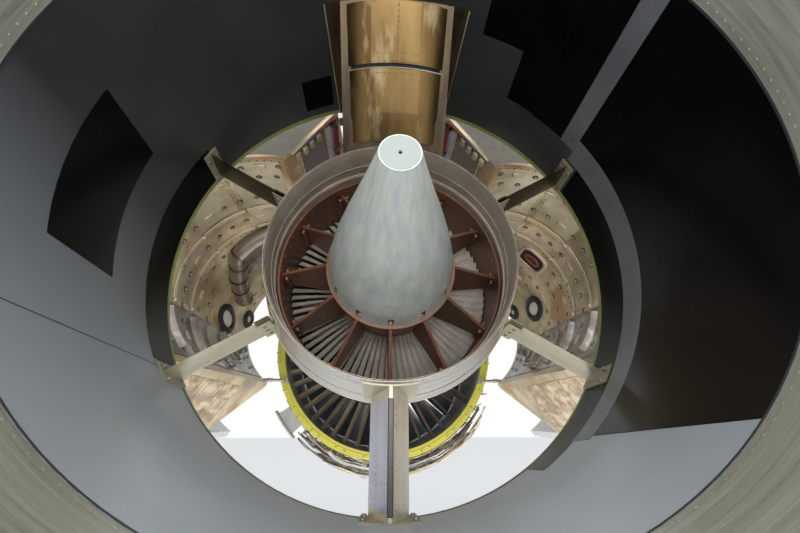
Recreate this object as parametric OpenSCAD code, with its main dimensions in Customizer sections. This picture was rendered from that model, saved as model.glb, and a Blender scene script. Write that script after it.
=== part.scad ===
/* [Fan] */
// Tip radius of the fan
fan_tip_r = 805; // [790:1:812]
// Running gap over the fan tips
fan_tip_gap = 4; // [2:0.5:8]
// Radius of the flats on the fan disc that carry the blades
fan_disc_r = 240; // [225:1:250]
// Number of fan blades
fan_blade_count = 22; // [18:1:24]
// Chord of a fan blade at its root
fan_root_chord = 150; // [120:1:165]
// Chord of a fan blade at its tip
fan_tip_chord = 235; // [200:1:250]
// Distance from the front flange to the middle of the fan
fan_mid_z = 290; // [280:1:310]
// Length of the spinner
spinner_len = 160; // [140:1:170]

/* [Fan case] */
// Length of the fan case, front flange face to rear ring
fan_case_len = 1160; // [1150:1:1180]
// Thickness of the liner inside the fan case
fan_liner_t = 16; // [10:1:22]
// Wall of the fan case
fan_case_wall = 12; // [8:1:16]
// How far the front flange stands out past the fan case wall
front_flange_h = 36; // [32:1:44]
// Thickness of the front flange
front_flange_t = 14; // [10:1:20]
// Number of bolt holes in the front flange
front_flange_bolts = 36; // [24:4:48]
// Radius of a bolt hole in the front flange
front_bolt_r = 5; // [3:0.5:6]
// How much smaller the fan case is at its rear end
fan_case_taper = 25; // [15:1:30]
// Number of outlet guide vanes behind the fan
guide_vane_count = 48; // [36:1:60]
// Chord of an outlet guide vane
guide_vane_chord = 120; // [90:1:130]
// Length of the coloured ring at the rear of the fan case
rear_ring_len = 40; // [30:1:50]
// Outer radius of the coloured ring
rear_ring_r = 840; // [835:1:850]

/* [Core] */
// Radius of the inner wall of the bypass duct at the fan frame
duct_hub_r = 470; // [460:1:480]
// Length of the high pressure compressor case
compressor_len = 620; // [600:1:640]
// Radius of the high pressure compressor case at its front
compressor_front_r = 330; // [320:1:340]
// Radius of the high pressure compressor case at its rear
compressor_rear_r = 285; // [275:1:295]
// Length of the combustor case
combustor_len = 260; // [250:1:280]
// Outer radius of the combustor case
combustor_r = 350; // [340:1:360]
// Length of the high pressure turbine case
front_turbine_len = 120; // [110:1:130]
// Length of the low pressure turbine case
lp_turbine_len = 380; // [370:1:390]
// Wall of the core cases
core_wall = 8; // [6:0.5:10]
// Height of the flanges between the core cases
core_flange_h = 16; // [12:1:20]
// Number of fuel nozzles round the combustor
fuel_nozzle_count = 20; // [12:1:24]

/* [Turbine and exhaust] */
// Tip radius of the last turbine blades
last_blade_tip_r = 448; // [440:1:452]
// Radius of the flats on the disc that carry the last turbine blades
last_disc_r = 213; // [208:1:215]
// Number of last stage turbine blades
last_blade_count = 80; // [60:1:84]
// Length of the exhaust case
exhaust_case_len = 249; // [240:1:255]
// Inner radius of the exhaust case at its rear lip
exhaust_lip_r = 441; // [438:1:446]
// Radius of the exhaust case hub at its rear
exhaust_hub_r = 250; // [245:1:255]
// Radius of the exhaust case hub at its front
exhaust_hub_front_r = 216; // [216:1:224]
// Number of struts in the exhaust case
exhaust_strut_count = 12; // [10:1:14]
// Radius of the tail cone at its base
cone_base_r = 240; // [230:1:243]
// Radius of the flat end of the tail cone
cone_tip_r = 50; // [40:1:60]
// Length of the tail cone
cone_len = 681; // [640:1:700]
// Length of the primary nozzle past the exhaust case lip
primary_len = 219; // [200:1:240]
// Inner radius of the primary nozzle at its rim
primary_rim_r = 442; // [438:1:448]
// Outer radius of the primary nozzle at its front flange
primary_front_r = 505; // [502:1:512]

/* [Common nozzle] */
// Distance from the fan case rear ring to the common nozzle
nozzle_start = 1627; // [1620:1:1640]
// Inner radius of the common nozzle at its front
nozzle_front_r = 852; // [846:1:860]
// Inner radius of the common nozzle at its exit
nozzle_exit_r = 732; // [715:1:745]
// Length of the common nozzle
nozzle_len = 1111; // [1080:1:1150]
// Length of the bare metal ring at the nozzle exit
trailing_ring_len = 220; // [180:1:260]
// Length of the green ring at the nozzle front
front_ring_len = 25; // [15:1:40]
// Thickness of the acoustic lining
lining_t = 12; // [8:1:16]
// Thickness of the nozzle outer skin
skin_t = 12; // [8:1:16]
// Chord of the four side struts
side_strut_chord = 165; // [150:1:180]
// Thickness of the four side struts
side_strut_t = 16; // [12:1:24]
// Chord of the bottom strut
bottom_strut_chord = 190; // [170:1:200]
// Width of the bottom strut
bottom_strut_w = 130; // [110:1:150]
// Width of the pylon fairing in the nozzle
fairing_w = 390; // [370:1:400]

/* [Duct doors] */
// Inner radius of the outer wall of a duct door
door_outer_r = 880; // [878:1:890]
// Thickness of the outer wall of a duct door
door_wall_t = 45; // [35:1:55]
// Thickness of the inner wall of a duct door
door_inner_t = 12; // [8:1:16]
// Half the distance between the two upper walls
door_top_half_w = 205; // [200:1:215]
// Gap between the two lower walls when the doors are shut
door_bottom_gap = 12; // [8:1:20]
// Angle by which the doors stand open
door_open = 35; // [30:1:38]
// Distance of a door hinge from the middle plane
hinge_x = 170; // [160:1:180]
// Height of the door hinges over the engine axis
hinge_y = 985; // [980:1:995]
// Radius of a door hinge pin
hinge_pin_r = 12; // [10:0.5:14]
// Radial clearance round a hinge pin or rod pin
pin_clearance = 0.05; // [0.02:0.01:0.09]
// Radius of a hold open rod
rod_r = 11; // [8:0.5:12]
// Length of a hold open rod between its ends
rod_len = 620; // [610:1:628]

/* [Hidden] */

fine = 180;
small = 48;
seat_gap = 0.3;
touch_gap = 0.05;

// Fan case: radii and stations measured aft from the front flange face
liner_in_r = fan_tip_r + fan_tip_gap;
case_in_r = liner_in_r + fan_liner_t;
case_rear_in_r = case_in_r - fan_case_taper;
liner_rear_in_r = case_rear_in_r - fan_liner_t;
front_flange_r = case_in_r + fan_case_wall + front_flange_h;
front_bolt_circle = front_flange_r - front_flange_h / 2 + 2;
taper_z0 = fan_case_len - 540;
taper_z1 = fan_case_len - 260;
duct_z0 = fan_case_len + rear_ring_len;

// Core stations
comb_z = duct_z0 + compressor_len;
front_turbine_z = comb_z + combustor_len;
lpt_z = front_turbine_z + front_turbine_len;
exh_z = lpt_z + lp_turbine_len;
lip_z = exh_z + exhaust_case_len;
rim_z = lip_z + primary_len;
cone_z = lip_z + 69;
tip_z = cone_z + cone_len;

// Common nozzle
noz_z0 = duct_z0 + nozzle_start;
noz_z1 = noz_z0 + nozzle_len;
noz_slope = (nozzle_front_r - nozzle_exit_r) / nozzle_len;
lining_z0 = noz_z0 + front_ring_len;
lining_z1 = noz_z1 - trailing_ring_len;
function wall_r(z) = nozzle_front_r - noz_slope * (z - noz_z0);

// Primary nozzle outer surface
primary_z0 = lip_z - 51;
primary_wall = 6;
primary_slope = (primary_front_r - primary_rim_r - primary_wall) / (rim_z - primary_z0);
function primary_r(z) = primary_front_r - primary_slope * (z - primary_z0);

// Turbine case radii
lpt_front_r = 400;
lpt_rear_r = last_blade_tip_r + 5 + core_wall;
tip_gap = 3;

// Shafts
lp_shaft_r = 55;
core_shaft_in_r = 62;
core_shaft_r = 80;
frame_bore_r = 110;
bearing_clearance = 0.05;
root_clearance = 0.05;
fan_disc_z0 = fan_mid_z - 70;
fan_disc_z1 = fan_mid_z + 70;
last_blade_z = exh_z - 20;

// Angles are measured as seen from behind, from the right, turning left
side_strut_angles = [150, 30, 210, 330];
plate_t = 6;

// Doors
door_z0 = duct_z0 + 4;
door_z1 = noz_z0 - 20;
door_inner_z0 = duct_z0 + 40;
inner_wall_front_r = duct_hub_r + 6;
inner_wall_aft_r = primary_front_r + 6;
inner_wall_z1 = primary_z0 - 12;
hinge_stations = [door_z0 + 160, door_z0 + 780, door_z0 + 1400];
hinge_arm_w = 60;
lug_w = 30;
hinge_pin_len = hinge_arm_w + 2 * lug_w + 12;
rod_pivot_r = door_outer_r - 35;
rod_pivot_angle = 239.3;
rod_stow_turn = -94.3;
rod_stow = 127.8;
rod_z = duct_z0 + 20;
rod_eye_r = 20;
rod_eye_t = 2 * rod_r + 1;
rod_pin_r = 8;

// Where the free end of a hold open rod rests, on the right side of the engine
function turn(p, a) = [p[0] * cos(a) - p[1] * sin(a), p[0] * sin(a) + p[1] * cos(a)];
rod_pivot = rod_pivot_r * [cos(rod_pivot_angle), sin(rod_pivot_angle)];
rod_far = rod_pivot + rod_len * [cos(rod_stow + rod_stow_turn), sin(rod_stow + rod_stow_turn)];
left_hinge = [-hinge_x, hinge_y];
rod_end_left = left_hinge + turn(rod_far - left_hinge, -door_open);
rod_end = [-rod_end_left[0], rod_end_left[1]];

// Turn the drawing so that its z points aft along the engine
module engine() {
    rotate([90, 0, 0]) children();
}

module ring(r_out, r_in, z0, z1) {
    translate([0, 0, z0]) difference() {
        cylinder(h = z1 - z0, r = r_out, $fn = fine);
        translate([0, 0, -1]) cylinder(h = z1 - z0 + 2, r = r_in, $fn = fine);
    }
}

// Revolve a list of [radius, station] corners about the engine axis
module turned(corners) {
    rotate_extrude($fn = fine) polygon(corners);
}

module part_turned(corners, from, to) {
    rotate([0, 0, from]) rotate_extrude(angle = to - from, $fn = fine) polygon(corners);
}

module around(count, start = 0) {
    for (i = [0 : count - 1]) rotate([0, 0, start + i * 360 / count]) children();
}

// A regular flat sided prism whose flats lie at the given radius
module flat_sided(count, flat_r, z0, z1) {
    corner_r = flat_r / cos(180 / count);
    corners = [for (i = [0 : count - 1])
        corner_r * [cos((i + 0.5) * 360 / count), sin((i + 0.5) * 360 / count)]];
    translate([0, 0, z0]) linear_extrude(z1 - z0) polygon(corners);
}

// Blade section: chord along the second axis, camber and thickness along the first
foil_steps = 5;
coarse_steps = 3;
function foil_half(u) = pow(sin(180 * pow(u, 0.75)), 0.8) / 2;
function foil(chord, thick, camber, turn, steps = foil_steps) =
    let (back = [for (i = [0 : steps]) let (u = i / steps)
            [camber * 4 * u * (1 - u) + thick * foil_half(u), chord * (u - 0.5)]],
        belly = [for (i = [steps - 1 : -1 : 1]) let (u = i / steps)
            [camber * 4 * u * (1 - u) - thick * foil_half(u), chord * (u - 0.5)]])
    [for (p = concat(back, belly))
        [p[0] * cos(turn) - p[1] * sin(turn), p[0] * sin(turn) + p[1] * cos(turn)]];

// A straight blade of one section, standing out along the radius
module straight_blade(r_in, r_out, z, section) {
    translate([r_in, 0, z]) rotate([90, 0, 90]) linear_extrude(r_out - r_in) polygon(section);
}

// A twisted blade through sections given as [radius, outline]
module twisted_blade(z, levels) {
    n = len(levels[0][1]);
    m = len(levels);
    pts = [for (l = levels) for (p = l[1]) [l[0], p[0], z + p[1]]];
    sides = [for (j = [0 : m - 2]) for (i = [0 : n - 1]) for (half = [0, 1])
        let (a = j * n + i, b = j * n + (i + 1) % n)
        i < n / 2 ? (half == 0 ? [a, b + n, b] : [a, a + n, b + n])
            : (half == 0 ? [a, a + n, b] : [b, a + n, b + n])];
    polyhedron(points = pts, faces = concat([[for (i = [0 : n - 1]) i]], sides,
        [[for (i = [n - 1 : -1 : 0]) (m - 1) * n + i]]), convexity = 4);
}

module stud(r, h) {
    cylinder(h = h, r = r, $fn = small);
}

// Fan case with its front flange, containment band and ribs
module fan_case() {
    out_r = case_in_r + fan_case_wall;
    rear_out_r = case_rear_in_r + fan_case_wall;
    rib_h = 16;
    rib_z = [120, 520, fan_case_len - 140];
    band_z0 = fan_mid_z - 130;
    band_z1 = fan_mid_z + 170;
    band_h = 14;
    color([0.52, 0.54, 0.50]) engine() difference() {
        union() {
            turned([[case_in_r, 0], [front_flange_r, 0], [front_flange_r, front_flange_t],
                [out_r, front_flange_t], [out_r, band_z0], [out_r + band_h, band_z0 + 20],
                [out_r + band_h, band_z1 - 20], [out_r, band_z1], [out_r, taper_z0],
                [rear_out_r, taper_z1], [rear_out_r, fan_case_len - 14],
                [rear_ring_r - 4, fan_case_len - 14], [rear_ring_r - 4, fan_case_len],
                [case_rear_in_r, fan_case_len], [case_rear_in_r, taper_z1],
                [case_in_r, taper_z0]]);
            ring(out_r + rib_h, out_r - 2, rib_z[0] - 4, rib_z[0] + 4);
            ring(out_r + rib_h, out_r - 2, rib_z[1] - 4, rib_z[1] + 4);
            ring(rear_out_r + rib_h, rear_out_r - 2, rib_z[2] - 4, rib_z[2] + 4);
        }
        around(front_flange_bolts, 180 / front_flange_bolts)
            translate([front_bolt_circle, 0, -1]) stud(front_bolt_r, front_flange_t + 2);
    }
}

module fan_liner() {
    lead = 20;
    color([0.30, 0.31, 0.32]) engine() turned([[liner_in_r, lead], [case_in_r, lead],
        [case_in_r, taper_z0], [case_rear_in_r, taper_z1], [case_rear_in_r, fan_case_len],
        [liner_rear_in_r, fan_case_len], [liner_rear_in_r, taper_z1], [liner_in_r, taper_z0]]);
}

// Coloured rear ring with pairs of bolts through its rear face
ring_bolt_pairs = 24;
ring_bolt_r = 5;
module rear_flange_ring() {
    face_t = 12;
    color([0.85, 0.80, 0.25]) engine() {
        turned([[liner_rear_in_r, fan_case_len], [rear_ring_r, fan_case_len],
            [rear_ring_r, duct_z0], [rear_ring_r - 55, duct_z0],
            [liner_rear_in_r, duct_z0 - 20]]);
        around(ring_bolt_pairs, 180 / ring_bolt_pairs)
            for (side = [-1, 1]) rotate([0, 0, side * 1.6])
                translate([rear_ring_r - 25, 0, duct_z0 - 0.01]) stud(ring_bolt_r, face_t * 0.6);
        for (side = [-1, 1]) translate([side * rod_end[0], rod_end[1], duct_z0 - 1])
            stud(rod_eye_r - 3, rod_z - rod_eye_t / 2 - seat_gap - duct_z0 + 1);
    }
}

// Straight cambered vanes between the liner and the bypass duct's inner wall
vane_turn = 12;
module outlet_guide_vanes() {
    vane_t = 9;
    camber = 8;
    half_w = guide_vane_chord / 2 * sin(vane_turn) + camber + vane_t / 2;
    out_r = sqrt(pow(liner_rear_in_r, 2) - pow(half_w, 2)) - 0.02;
    color([0.75, 0.65, 0.52]) engine() around(guide_vane_count)
        straight_blade(duct_hub_r, out_r, taper_z1 + 10 + guide_vane_chord / 2,
            foil(guide_vane_chord, vane_t, camber, vane_turn));
}

// Frame behind the guide vanes: bypass struts, hub shell, core struts and bearing hub
module fan_frame() {
    strut_count = 8;
    frame_z0 = taper_z1 + guide_vane_chord + 20;
    strut_chord = 110;
    strut_z = frame_z0 + strut_chord / 2 + 5;
    hub_t = 12;
    core_in_r = compressor_front_r - 90;
    color([0.60, 0.58, 0.50]) engine() union() {
        ring(duct_hub_r, duct_hub_r - hub_t, taper_z1, duct_z0);
        ring(compressor_front_r + core_flange_h, compressor_front_r - core_wall - 0.5,
            frame_z0, duct_z0);
        ring(core_in_r, frame_bore_r, frame_z0, duct_z0);
        around(strut_count, 90 / strut_count) {
            straight_blade(duct_hub_r - hub_t / 2, liner_rear_in_r - 0.1, strut_z,
                foil(strut_chord, 16, 0, 0));
            translate([core_in_r - 4, -7, frame_z0 + 10])
                cube([duct_hub_r - core_in_r - 4, 14, duct_z0 - frame_z0 - 20]);
        }
    }
}

// Splitter nose that parts the core air from the bypass air
splitter_z = fan_case_len - 600;
module splitter() {
    nose_r = duct_hub_r - 34;
    color([0.66, 0.67, 0.66]) engine() turned([[nose_r, splitter_z], [nose_r + 10, splitter_z + 6],
        [duct_hub_r - 4, splitter_z + 150], [duct_hub_r, splitter_z + 240],
        [duct_hub_r, taper_z1], [duct_hub_r - 12, taper_z1],
        [duct_hub_r - 12, splitter_z + 240], [nose_r + 12, splitter_z + 90],
        [nose_r - 2, splitter_z + 6]]);
}

// Casing of the low pressure compressor behind the splitter
booster_blade_r = duct_hub_r - 55;
module booster_case() {
    color([0.50, 0.50, 0.48]) engine() turned([[booster_blade_r + 3, splitter_z + 60],
        [booster_blade_r + 11, splitter_z + 60], [booster_blade_r + 11, taper_z1 - 20],
        [duct_hub_r - 12, taper_z1 - 20], [duct_hub_r - 12, taper_z1],
        [booster_blade_r + 3, taper_z1]]);
}

compressor_ribs = 6;
function rib_station(i) = duct_z0 + i * compressor_len / (compressor_ribs + 1);
function comp_r(z) = compressor_front_r
    - (compressor_front_r - compressor_rear_r) * (z - duct_z0) / compressor_len;

// Horizontally split compressor case with flanges at each end and stiffening ribs
module compressor_case() {
    front = compressor_front_r;
    rear = compressor_rear_r;
    color([0.45, 0.43, 0.40]) engine() union() {
        turned([[front - core_wall, duct_z0], [front + core_flange_h, duct_z0],
            [front + core_flange_h, duct_z0 + 12], [front, duct_z0 + 12], [rear, comb_z - 12],
            [combustor_r + core_flange_h, comb_z - 12], [combustor_r + core_flange_h, comb_z],
            [rear - core_wall, comb_z]]);
        for (i = [1 : compressor_ribs]) let (z = rib_station(i))
            ring(comp_r(z) + 12, comp_r(z) - core_wall / 2, z - 4, z + 4);
        for (side = [0, 180]) rotate([0, 0, side]) rotate([90, 0, 0]) translate([0, 0, -10])
            linear_extrude(20) polygon([[front - core_wall / 2, duct_z0 + 12],
                [front + 14, duct_z0 + 12], [rear + 14, comb_z - 12],
                [rear - core_wall / 2, comb_z - 12]]);
    }
}

module combustor_case() {
    boss_z = comb_z + 45;
    port_r = 14;
    color([0.48, 0.42, 0.34]) engine() difference() {
        union() {
            turned([[combustor_r - core_wall, comb_z], [combustor_r + core_flange_h, comb_z],
                [combustor_r + core_flange_h, comb_z + 12], [combustor_r, comb_z + 12],
                [combustor_r, front_turbine_z - 12], [combustor_r + core_flange_h, front_turbine_z - 12],
                [combustor_r + core_flange_h, front_turbine_z], [combustor_r - core_wall, front_turbine_z]]);
            around(fuel_nozzle_count) translate([combustor_r - core_wall / 2, 0, boss_z])
                rotate([0, 90, 0]) stud(port_r + 10, 14);
        }
        around(fuel_nozzle_count) translate([combustor_r - 40, 0, boss_z])
            rotate([0, 90, 0]) stud(port_r, 80);
    }
}

// Annular flame tube held by its rear flange
module combustor_liner() {
    out_r = combustor_r - core_wall - 38;
    in_r = out_r - 90;
    t = 4;
    color([0.40, 0.30, 0.22]) engine() turned([[in_r, front_turbine_z], [in_r, comb_z + 90],
        [in_r + 20, comb_z + 78], [in_r + 20, comb_z + 74], [out_r - 20, comb_z + 74],
        [out_r, comb_z + 90], [out_r, front_turbine_z - 6], [combustor_r - core_wall, front_turbine_z - 6],
        [combustor_r - core_wall, front_turbine_z], [out_r - t, front_turbine_z], [out_r - t, comb_z + 92],
        [out_r - 22, comb_z + 78], [in_r + 22, comb_z + 78], [in_r + t, comb_z + 92],
        [in_r + t, front_turbine_z]]);
}

module fuel_nozzles() {
    boss_z = comb_z + 45;
    stem_r = 10;
    cap_t = 10;
    manifold_r = 8;
    top_r = combustor_r - core_wall / 2 + 14;
    color([0.55, 0.50, 0.42]) engine() {
        around(fuel_nozzle_count) translate([0, 0, boss_z]) {
            translate([top_r, 0, 0]) rotate([0, 90, 0]) stud(22, cap_t);
            translate([combustor_r - 80, 0, 0]) rotate([0, 90, 0]) stud(stem_r, top_r - combustor_r + 84);
            translate([combustor_r - 72, 0, 0]) stud(8, 29);
        }
        translate([0, 0, boss_z]) rotate_extrude($fn = fine)
            translate([top_r + cap_t + manifold_r - 2, 0]) circle(r = manifold_r, $fn = small);
    }
}

module front_turbine_case() {
    out_r = lpt_front_r - 20;
    color([0.46, 0.40, 0.34]) engine() turned([[combustor_r - core_wall, front_turbine_z],
        [combustor_r + core_flange_h, front_turbine_z], [combustor_r + core_flange_h, front_turbine_z + 12],
        [out_r - 20, front_turbine_z + 24], [lpt_front_r, lpt_z - 12],
        [lpt_front_r + core_flange_h, lpt_z - 12], [lpt_front_r + core_flange_h, lpt_z],
        [lpt_front_r - core_wall, lpt_z], [out_r - 30, front_turbine_z + 30]]);
}

module lp_turbine_case() {
    rib_count = 3;
    cone_end = exh_z - 70;
    function case_r(z) = lpt_front_r + (lpt_rear_r - lpt_front_r) * (z - lpt_z) / (cone_end - lpt_z);
    color([0.44, 0.38, 0.32]) engine() union() {
        turned([[lpt_front_r - core_wall, lpt_z], [lpt_front_r + core_flange_h, lpt_z],
            [lpt_front_r + core_flange_h, lpt_z + 12], [case_r(lpt_z + 12), lpt_z + 12],
            [lpt_rear_r, cone_end], [lpt_rear_r, exh_z - 12],
            [lpt_rear_r + core_flange_h, exh_z - 12], [lpt_rear_r + core_flange_h, exh_z],
            [lpt_rear_r - core_wall, exh_z], [lpt_rear_r - core_wall, cone_end]]);
        for (i = [1 : rib_count]) let (z = lpt_z + i * (cone_end - lpt_z) / (rib_count + 1))
            ring(case_r(z) + 8, case_r(z) - core_wall / 2, z - 6, z + 6);
    }
}

// Exhaust case: heat stained hub and swept struts inside the outer ring
module exhaust_case() {
    hub_t = 10;
    in_r = lpt_rear_r - core_wall;
    hub_z0 = exh_z + 12;
    web_z = hub_z0 + 14;
    strut_t = 11;
    end_r = exhaust_lip_r + 11;
    color([0.30, 0.13, 0.06]) engine() union() {
        turned([[in_r, exh_z], [lpt_rear_r + core_flange_h, exh_z],
            [lpt_rear_r + core_flange_h, exh_z + 12], [lpt_rear_r, exh_z + 12],
            [exhaust_lip_r + 22, primary_z0 - 14], [primary_front_r - 9, primary_z0 - 14],
            [primary_front_r - 9, primary_z0], [exhaust_lip_r + 14, primary_z0],
            [exhaust_lip_r + 8, lip_z], [exhaust_lip_r, lip_z]]);
        turned([[exhaust_hub_front_r, hub_z0], [exhaust_hub_r, cone_z],
            [exhaust_hub_r - hub_t, cone_z], [exhaust_hub_front_r - hub_t, hub_z0]]);
        ring(exhaust_hub_r - hub_t / 2, cone_base_r - 40, cone_z - 14, cone_z);
        around(exhaust_strut_count, 270) translate([0, strut_t / 2, 0]) rotate([90, 0, 0])
            linear_extrude(strut_t) polygon([[exhaust_hub_front_r - hub_t / 2, hub_z0 + 4],
                [end_r, hub_z0 + 67], [end_r, lip_z - 56],
                [exhaust_hub_r - hub_t / 2, cone_z - 2]]);
        rotate([0, 0, 15]) {
            ring(exhaust_hub_front_r - hub_t / 2, core_shaft_r + 40, web_z, web_z + 14);
            ring(core_shaft_r + 52, core_shaft_r + 40, web_z, exh_z + 90);
        }
    }
}

// Tail cone shell with its flat end and small vent hole
cone_bulge = 0.34;
module tail_cone() {
    shell_t = 5;
    steps = 8;
    vent_r = 5;
    notch_w = 22;
    notch_len = 60;
    function cone_r(u) = cone_tip_r + (cone_base_r - cone_tip_r) *
        ((1 - u) + cone_bulge * 4 * u * (1 - u) * (1 - u) * 0.4);
    function wall(inset) = [for (i = [0 : steps]) let (u = i / steps)
        [cone_r(u) - inset, cone_z + u * cone_len]];
    inner = wall(shell_t);
    color([0.70, 0.75, 0.73]) engine() difference() {
        turned(concat(wall(0), [[0, tip_z], [0, tip_z - shell_t]],
            [[inner[steps][0], tip_z - shell_t]],
            [for (i = [steps - 1 : -1 : 0]) inner[i]]));
        translate([0, 0, tip_z - 20]) stud(vent_r, 40);
        around(exhaust_strut_count, 270) translate([cone_base_r - 40, 0, cone_z]) {
            translate([0, -notch_w / 2, -1]) cube([60, notch_w, notch_len - notch_w / 2 + 1]);
            translate([0, 0, notch_len - notch_w / 2]) rotate([0, 90, 0]) stud(notch_w / 2, 60);
        }
    }
}

module tail_cone_bolts() {
    color([0.55, 0.52, 0.48]) engine() around(exhaust_strut_count, 270)
        translate([cone_base_r - 16, 0, cone_z]) {
            stud(8, 7);
            stud(4.5, 16);
        }
}

module primary_nozzle() {
    in_front_r = exhaust_lip_r + 16;
    color([0.42, 0.36, 0.28]) engine() turned([[exhaust_lip_r + 14, primary_z0],
        [primary_front_r, primary_z0], [primary_front_r, primary_z0 + 12],
        [primary_r(primary_z0 + 12), primary_z0 + 12], [primary_rim_r + primary_wall, rim_z],
        [primary_rim_r, rim_z], [in_front_r - 2, lip_z + 12], [in_front_r, primary_z0 + 40]]);
}

// Green painted ring at the nozzle front
module nozzle_front_ring() {
    out = lining_t + skin_t;
    color([0.50, 0.58, 0.25]) engine() turned([[wall_r(noz_z0), noz_z0],
        [wall_r(noz_z0) + out - 4, noz_z0], [wall_r(noz_z0) + out, noz_z0 + 4],
        [wall_r(lining_z0) + out, lining_z0], [wall_r(lining_z0), lining_z0]]);
}

module nozzle_lining() {
    color([0.22, 0.25, 0.28]) engine() turned([[wall_r(lining_z0), lining_z0],
        [wall_r(lining_z0) + lining_t, lining_z0], [wall_r(lining_z1) + lining_t, lining_z1],
        [wall_r(lining_z1), lining_z1]]);
}

module nozzle_skin() {
    color([0.72, 0.73, 0.72]) engine() turned([[wall_r(lining_z0) + lining_t, lining_z0],
        [wall_r(lining_z0) + lining_t + skin_t, lining_z0],
        [wall_r(lining_z1) + lining_t + skin_t, lining_z1],
        [wall_r(lining_z1) + lining_t, lining_z1]]);
}

module nozzle_trailing_ring() {
    lip_t = 6;
    color([0.60, 0.62, 0.55]) engine() turned([[wall_r(lining_z1), lining_z1],
        [wall_r(lining_z1) + lining_t + skin_t, lining_z1],
        [wall_r(noz_z1) + lip_t, noz_z1], [wall_r(noz_z1), noz_z1],
        [wall_r(noz_z1 - 3) - 2, noz_z1 - 3], [wall_r(noz_z1 - 3) - 2, noz_z1 - 14],
        [wall_r(noz_z1 - 17), noz_z1 - 17]]);
}

// The space between the primary nozzle and the nozzle wall, less the end plates
module strut_space(inset) {
    z0 = noz_z0 + 2;
    z1 = rim_z - 2;
    turned([[primary_r(z0) + inset, z0], [wall_r(z0) - inset, z0],
        [wall_r(z1) - inset, z1], [primary_r(z1) + inset, z1]]);
}

module side_strut(i) {
    z = noz_z0 + side_strut_chord / 2 + 12;
    intersection() {
        strut_space(plate_t);
        rotate([0, 0, side_strut_angles[i]])
            straight_blade(primary_rim_r - 20, nozzle_front_r + 20, z,
                foil(side_strut_chord, side_strut_t, 0, 0));
    }
}

module upper_left_strut() {
    color([0.35, 0.32, 0.22]) engine() side_strut(0);
}

module upper_right_strut() {
    color([0.35, 0.32, 0.22]) engine() side_strut(1);
}

module lower_left_strut() {
    color([0.55, 0.52, 0.42]) engine() side_strut(2);
}

module lower_right_strut() {
    color([0.55, 0.52, 0.42]) engine() side_strut(3);
}

// Bottom strut: a wedge whose rear edge faces aft, with a round nose
module bottom_strut() {
    w = bottom_strut_w / 2;
    c = bottom_strut_chord;
    nose = [for (a = [0 : 30 : 180]) [w * cos(a), -c / 2 + w * 0.5 - w * 0.5 * sin(a)]];
    color([0.62, 0.62, 0.56]) engine() intersection() {
        strut_space(plate_t);
        rotate([0, 0, 270]) straight_blade(primary_rim_r - 20, nozzle_front_r + 20,
            noz_z0 + c / 2 + 8, concat(nose, [[-5, c / 2], [5, c / 2]]));
    }
}

// Flat end plates under both ends of each of the five struts
module strut_end_plates() {
    color([0.50, 0.48, 0.40]) engine() {
        for (a = side_strut_angles) end_plate_pair(a, side_strut_chord + 16, 66);
        end_plate_pair(270, bottom_strut_chord + 4, bottom_strut_w + 50);
    }
}

module end_plate_pair(angle, plate_len, plate_w) {
    z0 = noz_z0 + 4;
    intersection() {
        difference() {
            strut_space(touch_gap);
            strut_space(plate_t);
        }
        rotate([0, 0, angle]) translate([primary_rim_r - 20, -plate_w / 2, z0])
            cube([nozzle_front_r - primary_rim_r + 40, plate_w, plate_len]);
    }
}

// Bolt heads standing on the outer end plates, beside each strut
module strut_bolts() {
    head_r = 8;
    head_h = 7;
    color([0.62, 0.60, 0.56]) engine() {
        for (a = side_strut_angles) plate_bolts(a, side_strut_chord + 16, 22, head_r, head_h);
        plate_bolts(270, bottom_strut_chord + 4, bottom_strut_w / 2 + 13, head_r, head_h);
    }
}

module plate_bolts(angle, plate_len, offset, head_r, head_h) {
    slope = atan(noz_slope);
    for (end = [0.2, 0.8]) let (z = noz_z0 + 4 + plate_len * end) for (side = [-1, 1])
        rotate([0, 0, angle]) rotate([0, 0, asin(side * offset / wall_r(z))])
            translate([wall_r(z) - plate_t, 0, z]) rotate([0, -90 - slope, 0])
                translate([0, 0, 4 * touch_gap]) stud(head_r, head_h);
}

// Sheet metal fairing from the primary nozzle up to the nozzle wall
module pylon_fairing() {
    z0 = noz_z0 + 2;
    foot_z = rim_z - 8;
    top_z = noz_z0 + 570;
    flange_w = fairing_w + 110;
    flange_t = 5;
    flange_len = 568;
    color([0.50, 0.38, 0.20]) engine() intersection() {
        turned([[primary_r(z0) + touch_gap, z0], [wall_r(z0) - touch_gap, z0],
            [wall_r(top_z) - touch_gap, top_z], [wall_r(top_z) - 5, top_z],
            [primary_r(foot_z) + touch_gap, foot_z]]);
        union() {
            translate([-fairing_w / 2, 0, 0]) cube([fairing_w, nozzle_front_r + 40, noz_z1]);
            translate([0, 0, z0]) intersection() {
                translate([-flange_w / 2, 0, 0]) cube([flange_w, nozzle_front_r + 40, flange_len]);
                difference() {
                    cylinder(h = flange_len, r1 = wall_r(z0) + 20,
                        r2 = wall_r(z0 + flange_len) + 20, $fn = fine);
                    translate([0, 0, -0.1]) cylinder(h = flange_len + 0.2,
                        r1 = wall_r(z0) - flange_t, r2 = wall_r(z0 + flange_len) - flange_t,
                        $fn = fine);
                }
            }
        }
    }
}

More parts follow.
